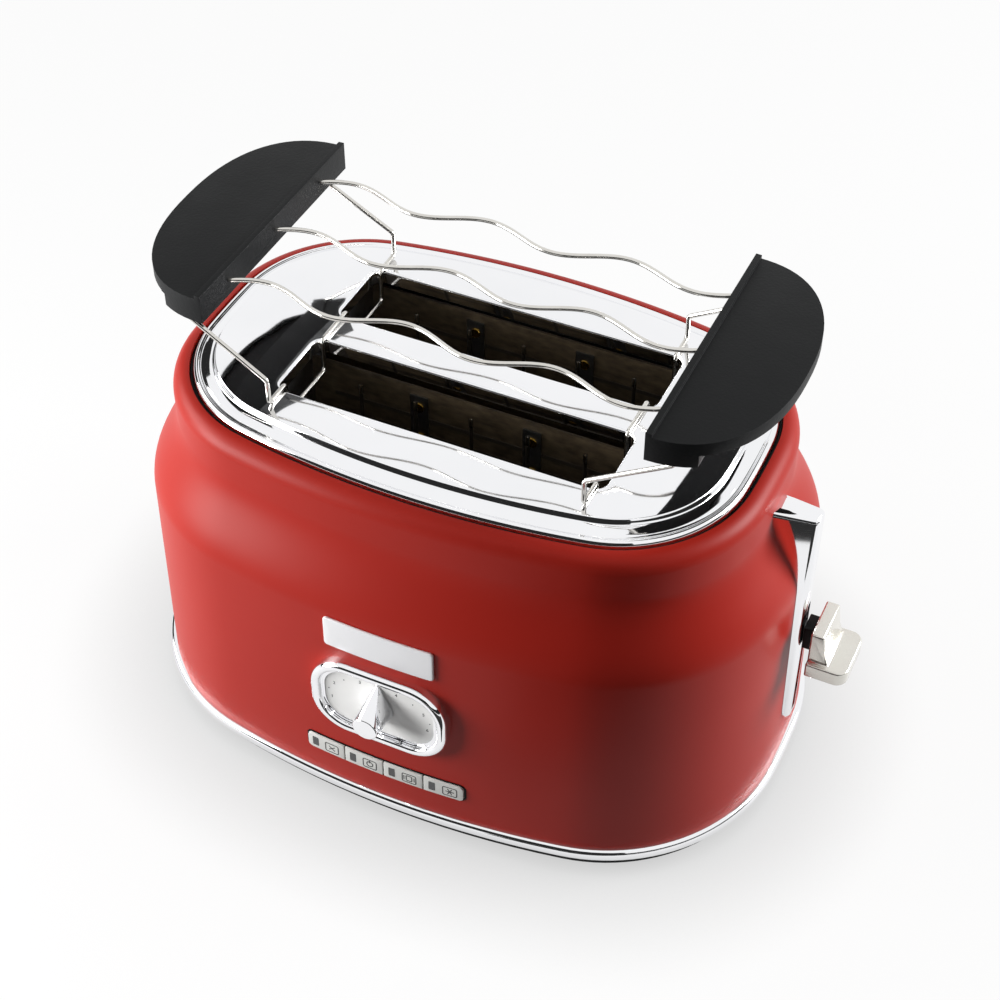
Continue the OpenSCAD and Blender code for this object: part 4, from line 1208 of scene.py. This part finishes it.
@dataclass
class Controls:
    """Name plate, browning dial and push buttons. Millimetres."""

    toaster: Toaster
    buttons: tuple[Body, ...] = (Body.CANCEL, Body.REHEAT, Body.ONE_SIDE, Body.DEFROST)
    plate_edge: float = 0.5
    button_edge: float = 0.45
    bezel_high: float = 5.6
    bezel_corner: float = 16.72
    bezel_outer: Pair = (2.2, 2.4)
    bezel_inner: Pair = (2.0, 1.6)
    bezel_well: tuple[Pair, ...] = ((4.4, 2.1), (5.0, 2.15), (5.0, 2.45), (5.9, 2.5), (5.9, 2.75))
    knob_r: float = 5.5
    knob_foot: float = 6.4
    knob_edge: float = 0.8
    fin_r: float = 1.2
    fin_trim: float = 3.0
    number_in: Pair = (3.6, 3.4)
    number_start: float = 196.0
    number_step: float = 42.4
    number_size: float = 2.3
    numbers: int = 6
    tick_out: Pair = (1.02, 1.04)
    tick: float = 0.5
    ink: float = 0.06
    lift: float = 0.04
    lap: float = 0.05
    print_off: float = 0.5
    line: float = 0.45
    window: Triple = (2.9, 5.0, 0.4)
    window_in: float = 3.7
    picture: Triple = (6.6, 5.4, 1.0)
    picture_in: float = 11.6
    picture_drop: float = 0.3

    def build(self) -> None:
        """Builds and dresses the controls."""
        plate = Bench.from_node("bare_name_plate", self.toaster.node("name_plate"), self.plate_edge * MM)
        self.toaster.place(plate, Body.CHASSIS, Slot.SILVER_PLATE, ["name_plate"])
        self._bezel()
        self._dial_marks()
        self._knob()
        for body in self.buttons:
            self._button(body)

    def _bezel(self) -> None:
        """The chrome bezel, with a round rim and a step inside it."""
        low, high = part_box("dial_bezel")
        top = self.bezel_high
        middle = Vector(((low.x + high.x) / 2, low.y + top * MM, (low.z + high.z) / 2))
        bezel = Bench.plate("dial_bezel_ring", high.x - low.x, high.z - low.z, self.bezel_corner * MM, middle,
                            front=True, segments=14)
        (wide, fall), (wide_in, fall_in) = self.bezel_outer, self.bezel_inner
        outer = [(wide * across, top - fall * (1 - up)) for across, up in arc(6)]
        inner = [(wide + wide_in * across, top - fall_in * down) for down, across in arc(6)[1:]]
        well = [(across, top - down) for across, down in self.bezel_well]
        steps = [(0.0, 0.0)] + outer + inner + well
        with Bench.editing(bezel, "FACE"):
            Bench.terrace(bezel, [(a * MM, b * MM) for a, b in steps])
            bpy.ops.mesh.delete(type="ONLY_FACE")
        self.toaster.place(Bench.smooth(bezel, 40), Body.CHASSIS, Slot.CHROME, ["dial_bezel"])

    def _knob(self) -> None:
        """The browning knob, which narrows from a drop-shaped foot to a round front."""
        low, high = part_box("browning_knob")
        middle = Vector(((low.x + high.x) / 2, 0, low.z + self.knob_foot * MM))
        reach = (high.z - middle.z) / MM - self.fin_r
        turn = math.degrees(math.asin((self.knob_foot - self.fin_r) / reach))
        trim = turn + self.fin_trim
        fin = [trim + (180 - 2 * trim) * t for t in shares(10)]
        rest = [180 - turn + (180 + 2 * turn) * t for t in shares(40)]

        def edge(angle: float, radius: float, y: float, up: float = 0.0) -> Vector:
            """A point of the knob's edge in a direction."""
            across, rise = radius * math.cos(math.radians(angle)), up + radius * math.sin(math.radians(angle))
            return middle + Vector((across, 0, rise)) * MM + Vector((0, y, 0))

        foot = [edge(a, self.fin_r, high.y, reach) for a in fin]
        foot += [edge(a, self.knob_foot, high.y) for a in rest]
        front = [edge(a, self.knob_r, low.y + self.knob_edge * MM) for a in fin + rest]
        loops = [Bench.chain("knob_edge", points, closed=True) for points in (foot, front)]
        knob = Bench.joined(loops, "pointer_knob")
        with Bench.editing(knob, "EDGE"):
            bpy.ops.mesh.bridge_edge_loops()
            for y in (low.y + self.knob_edge * MM, high.y):
                Bench.choose(knob, "edges", lambda e: all(abs(v.co.y - y) < LEVEL for v in e.verts))
                bpy.ops.mesh.edge_face_add()
            Bench.outward()
            bpy.ops.mesh.select_mode(type="FACE")
            Bench.choose(knob, "faces", lambda f: f.normal.y < -0.99)
            round_edge = self.knob_edge * MM
            Bench.terrace(knob, [(round_edge * across, round_edge * up) for across, up in arc(6)])
        self.toaster.place(Bench.smooth(knob, 45), Body.DIAL, Slot.CHROME, ["browning_knob"])

    def _dial_marks(self) -> None:
        """Small numerals and ticks along the dial's upper edge."""
        low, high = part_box("dial_face")
        middle = Vector(((low.x + high.x) / 2, low.y - self.lift * MM, (low.z + high.z) / 2))
        half_x = (high.x - low.x) / 2 - self.number_in[0] * MM
        half_z = (high.z - low.z) / 2 - self.number_in[1] * MM

        def spot(count: float, out: Pair = (1.0, 1.0)) -> Vector:
            """A place along the edge, counted in numbers from the first."""
            angle = math.radians(self.number_start - self.number_step * count)
            return middle + Vector((half_x * out[0] * math.cos(angle), 0, half_z * out[1] * math.sin(angle)))

        marks = []
        for k in range(self.numbers):
            bpy.ops.object.text_add(location=spot(k), rotation=FRONT)
            text = Bench.started("dial_number")
            text.data.body = str(k + 1)
            text.data.size = self.number_size * MM
            text.data.align_x = text.data.align_y = "CENTER"
            text.data.extrude = self.ink / 2 * MM
            bpy.ops.object.convert(target="MESH")
            marks.append(Bench.settle(bpy.context.object))
        marks += [self._bar(spot(k + 0.5, self.tick_out), self.tick, self.tick, 0)
                  for k in range(self.numbers - 1)]
        piece = Bench.joined(marks, "dial_numbers")
        self.toaster.place(piece, Body.CHASSIS, Slot.BLACK_PLASTIC, finish=PRINT)

    def _bar(self, place: Vector, width: float, height: float, angle: float) -> Piece:
        """A thin printed bar that faces the front.

        Args:
            place: Its middle, in metres.
            width: Its width, in millimetres.
            height: Its height, in millimetres.
            angle: Its turn in the plane of the front, in degrees.

        Returns:
            The bar.
        """
        bar = Bench.plate("print", width * MM, height * MM, min(width, height) * 0.3 * MM, Vector(),
                          front=True, segments=2)
        bar.rotation_euler = (0, math.radians(angle), 0)
        bar.location = place
        Bench.settle(bar)
        return self._thick(bar)

    def _thick(self, flat: Piece) -> Piece:
        """Gives a flat print that faces the front a little thickness."""
        return Bench.modify(flat, "SOLIDIFY", thickness=self.ink * MM, offset=0.0)

    def _loop(self, place: Vector, width: float, height: float, radius: float) -> Piece:
        """A thin printed outline that faces the front.

        Args:
            place: Its middle, in metres.
            width: Its width, in millimetres.
            height: Its height, in millimetres.
            radius: Its corner radius, in millimetres.

        Returns:
            The outline.
        """
        loop = Bench.plate("print", width * MM, height * MM, radius * MM, place, front=True, segments=5)
        with Bench.editing(loop, "FACE"):
            bpy.ops.mesh.inset(thickness=self.line * MM, depth=0)
            bpy.ops.mesh.delete(type="FACE")
        return self._thick(loop)

    def _button(self, body: Body) -> None:
        """A push button with its indicator window and its picture.

        Args:
            body: The button's body.
        """
        name = body.value
        node = f"button_{name}"
        button = Bench.from_node(f"{name}_button", self.toaster.node(node), self.button_edge * MM)
        self.toaster.place(button, body, Slot.WHITE_BUTTON, [node])
        low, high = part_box(node)
        before = Vector((low.x, low.y - self.print_off * MM, (low.z + high.z) / 2))
        width, height, corner = (size * MM for size in self.window)
        window = Bench.plate("print", width, height, corner, before + Vector((self.window_in * MM, 0, 0)),
                             front=True, segments=3)
        self._lay(self._thick(window), button, f"{name}_window", body, WINDOW)
        at = before + Vector((self.picture_in, 0, -self.picture_drop)) * MM
        marks = [self._loop(at, *self.picture)]
        if body is Body.CANCEL:
            marks += [self._bar(at, 3.6, self.line, turn) for turn in (38, -38)]
        elif body is Body.REHEAT:
            marks += [self._loop(at, 3.2, 3.2, 1.55), self._bar(at + Vector((0, 0, 1.4 * MM)), 0.5, 1.4, 0)]
        elif body is Body.ONE_SIDE:
            marks += [self._loop(at, 3.0, 3.4, 0.7)]
            marks += [self._bar(at + Vector((x * MM, 0, 0)), 0.4, 2.4, 0) for x in (-2.3, 2.3)]
        else:
            marks += [self._bar(at, 3.8, self.line, turn) for turn in (0, 60, 120)]
        self._lay(Bench.joined(marks, "print"), button, f"{name}_picture", body, PRINT)

    def _lay(self, flat: Piece, button: Piece, name: str, body: Body,
             finish: Finish) -> None:
        """Lays a print on a button's bowed face.

        Args:
            flat: The print, in front of the button.
            button: The button.
            name: The print's name.
            body: The button's body.
            finish: The print's finish.
        """
        flat.name = flat.data.name = name
        lowest = min(v.co.y for v in flat.data.vertices)
        Bench.only(flat)
        for vertex in flat.data.vertices:
            hit, point, _, _ = button.ray_cast((vertex.co.x, lowest - 10 * MM, vertex.co.z), (0, 1, 0))
            if hit:
                vertex.co.y += point.y - lowest - self.lap * MM
        self.toaster.place(flat, body, Slot.BLACK_PLASTIC, finish=finish)


@dataclass(frozen=True)
class Lamp:
    """A square panel lamp: its place and side in metres, its power in watts."""

    name: str
    place: Triple
    side: float
    power: float


@dataclass(frozen=True)
class Card:
    """A dark card that only gloss mirrors: its place and size in metres, its turn in radians."""

    name: str
    place: Triple
    turn: Triple
    size: Pair


@dataclass
class Studio:
    """Camera, pale floor, world, lamps and dark cards. Metres."""

    target: Vector = field(default_factory=lambda: Vector((-2.618, 3.034, 103.941)) * MM)
    eye: Vector = field(default_factory=lambda: Vector((244.45, -526.95, 664.45)) * MM)
    lens: float = 69.88
    sensor: float = 36.0
    clip: float = 0.01
    lamps: tuple[Lamp, ...] = (
        Lamp("left_panel", (-1.25, -0.2, 0.62), 0.7, 11.0),
        Lamp("near_box", (-0.44, -0.34, 0.22), 0.26, 3.1),
        Lamp("right_panel", (1.1, 0.6, 0.65), 0.7, 24.0),
    )
    cards: tuple[Card, ...] = (
        Card("dark_corner_card", (0.315, -0.57, 0.002), (0, 0, 0), (0.57, 0.86)),
        Card("dark_front_card", (0, -1.55, 0.65), FRONT, (2.4, 1.3)),
        Card("dark_left_card", (-1.55, 0.45, 0.6), (math.pi / 2, 0, math.pi / 2), (1.1, 1.0)),
    )
    ring_r: float = 1.6
    ring_high: float = 0.42
    ring_z: float = 0.25
    ring_back: float = 0.5
    floor_side: float = 8.0
    floor_lit: float = 0.16
    floor_seen: float = 0.6
    floor_rough: float = 0.3
    floor_glow: float = 0.9
    # how far and how deep the shadow painted into the floor's glow reaches
    shade_reach: float = 0.06
    shade: float = 0.36
    world_lit: float = 0.1
    world_seen: float = 0.9

    def build(self) -> None:
        """Builds the studio."""
        self._camera()
        self._floor()
        self._world()
        self._flags()
        for lamp in self.lamps:
            self._lamp(lamp)
        bpy.context.scene.view_settings.view_transform = "Standard"

    def _faced(self, place: Sequence[float]) -> Any:
        """The turn that looks from a place at the toaster."""
        return (self.target - Vector(place)).to_track_quat("-Z", "Y").to_euler()

    def _camera(self) -> None:
        """The camera at the photograph's viewing angle."""
        bpy.ops.object.camera_add(location=self.eye, rotation=self._faced(self.eye))
        camera = bpy.context.object
        camera.data.lens = self.lens
        camera.data.sensor_width = self.sensor
        camera.data.clip_start = self.clip
        bpy.context.scene.camera = camera

    def _lamp(self, lamp: Lamp) -> None:
        """Sets up a soft panel lamp that looks at the toaster.

        Args:
            lamp: The lamp.
        """
        bpy.ops.object.light_add(type="AREA", location=lamp.place, rotation=self._faced(lamp.place))
        panel = bpy.context.object
        panel.name = lamp.name
        panel.data.size = lamp.side
        panel.data.energy = lamp.power
        panel.visible_camera = False

    def _flags(self) -> None:
        """Dark cards round the front half of the studio, which only gloss mirrors."""
        bpy.ops.mesh.primitive_cylinder_add(vertices=96, radius=self.ring_r, depth=self.ring_high,
                                            location=(0, 0, self.ring_z), end_fill_type="NOTHING")
        ring = Bench.settle(Bench.started("dark_flag_ring"))
        with Bench.editing(ring, "FACE"):
            Bench.choose(ring, "faces", lambda f: f.calc_center_median().y > self.ring_back)
            bpy.ops.mesh.delete(type="FACE")
        self._dark(ring)
        for card in self.cards:
            bpy.ops.mesh.primitive_plane_add(size=1, location=card.place, rotation=card.turn)
            flag = Bench.started(card.name)
            flag.scale = (*card.size, 1)
            self._dark(Bench.settle(flag))

    def _dark(self, flag: Piece) -> None:
        """Blackens a flag and hides it from everything but mirroring.

        Args:
            flag: The flag.
        """
        flag.data.materials.append(FINISHES[Slot.BLACK_RUBBER].material())
        flag.visible_camera = flag.visible_diffuse = flag.visible_shadow = False

    def _floor(self) -> None:
        """A wide pale floor with a painted shadow close to the toaster, and darker where it lights."""
        bpy.ops.mesh.primitive_plane_add(size=self.floor_side)
        floor = Bench.started("pale_floor")
        material = bpy.data.materials.new("pale_floor")
        kit = ShaderKit.blank(material)
        seen = kit.seen()
        matt = kit.value("ShaderNodeBsdfPrincipled", None, {
            "Base Color": seen * self.floor_seen + self.floor_lit, "Roughness": self.floor_rough})
        # painted shadow: ambient occlusion darkens the floor's glow close to the toaster, and the chrome
        # mirrors that painted shade too
        painted_shadow_ao = kit.value("ShaderNodeAmbientOcclusion", {"samples": 16}, {"Distance": self.shade_reach}, "AO")
        glow = kit.value("ShaderNodeEmission", None, {
            "Color": painted_shadow_ao * painted_shadow_ao * self.shade + (1 - self.shade), "Strength": 1.0})
        surface = kit.value("ShaderNodeMixShader", None, {0: seen * self.floor_glow, 1: matt, 2: glow})
        kit.node("ShaderNodeOutputMaterial", None, {"Surface": surface})
        floor.data.materials.append(material)

    def _world(self) -> None:
        """A plain world: white where it is seen, softer where it lights."""
        world = bpy.data.worlds.new("studio")
        bpy.context.scene.world = world
        kit = ShaderKit.blank(world)
        light = kit.value("ShaderNodeBackground", None, {
            "Color": (1, 1, 1, 1), "Strength": kit.seen() * self.world_seen + self.world_lit})
        kit.node("ShaderNodeOutputWorld", None, {"Surface": light})


def main() -> None:
    """Builds the toaster's pieces in order."""
    logging.basicConfig(level=logging.INFO, format="%(name)s: %(message)s")
    toaster = Toaster(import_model())
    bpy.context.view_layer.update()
    Studio().build()
    housing = Housing(toaster)
    housing.build()
    BunRack(toaster, housing.middle).build()
    LeverGear(toaster).build()
    GuideTips(toaster).build()
    Controls(toaster).build()
    toaster.dress_nodes()


if __name__ == "__main__":
    main()
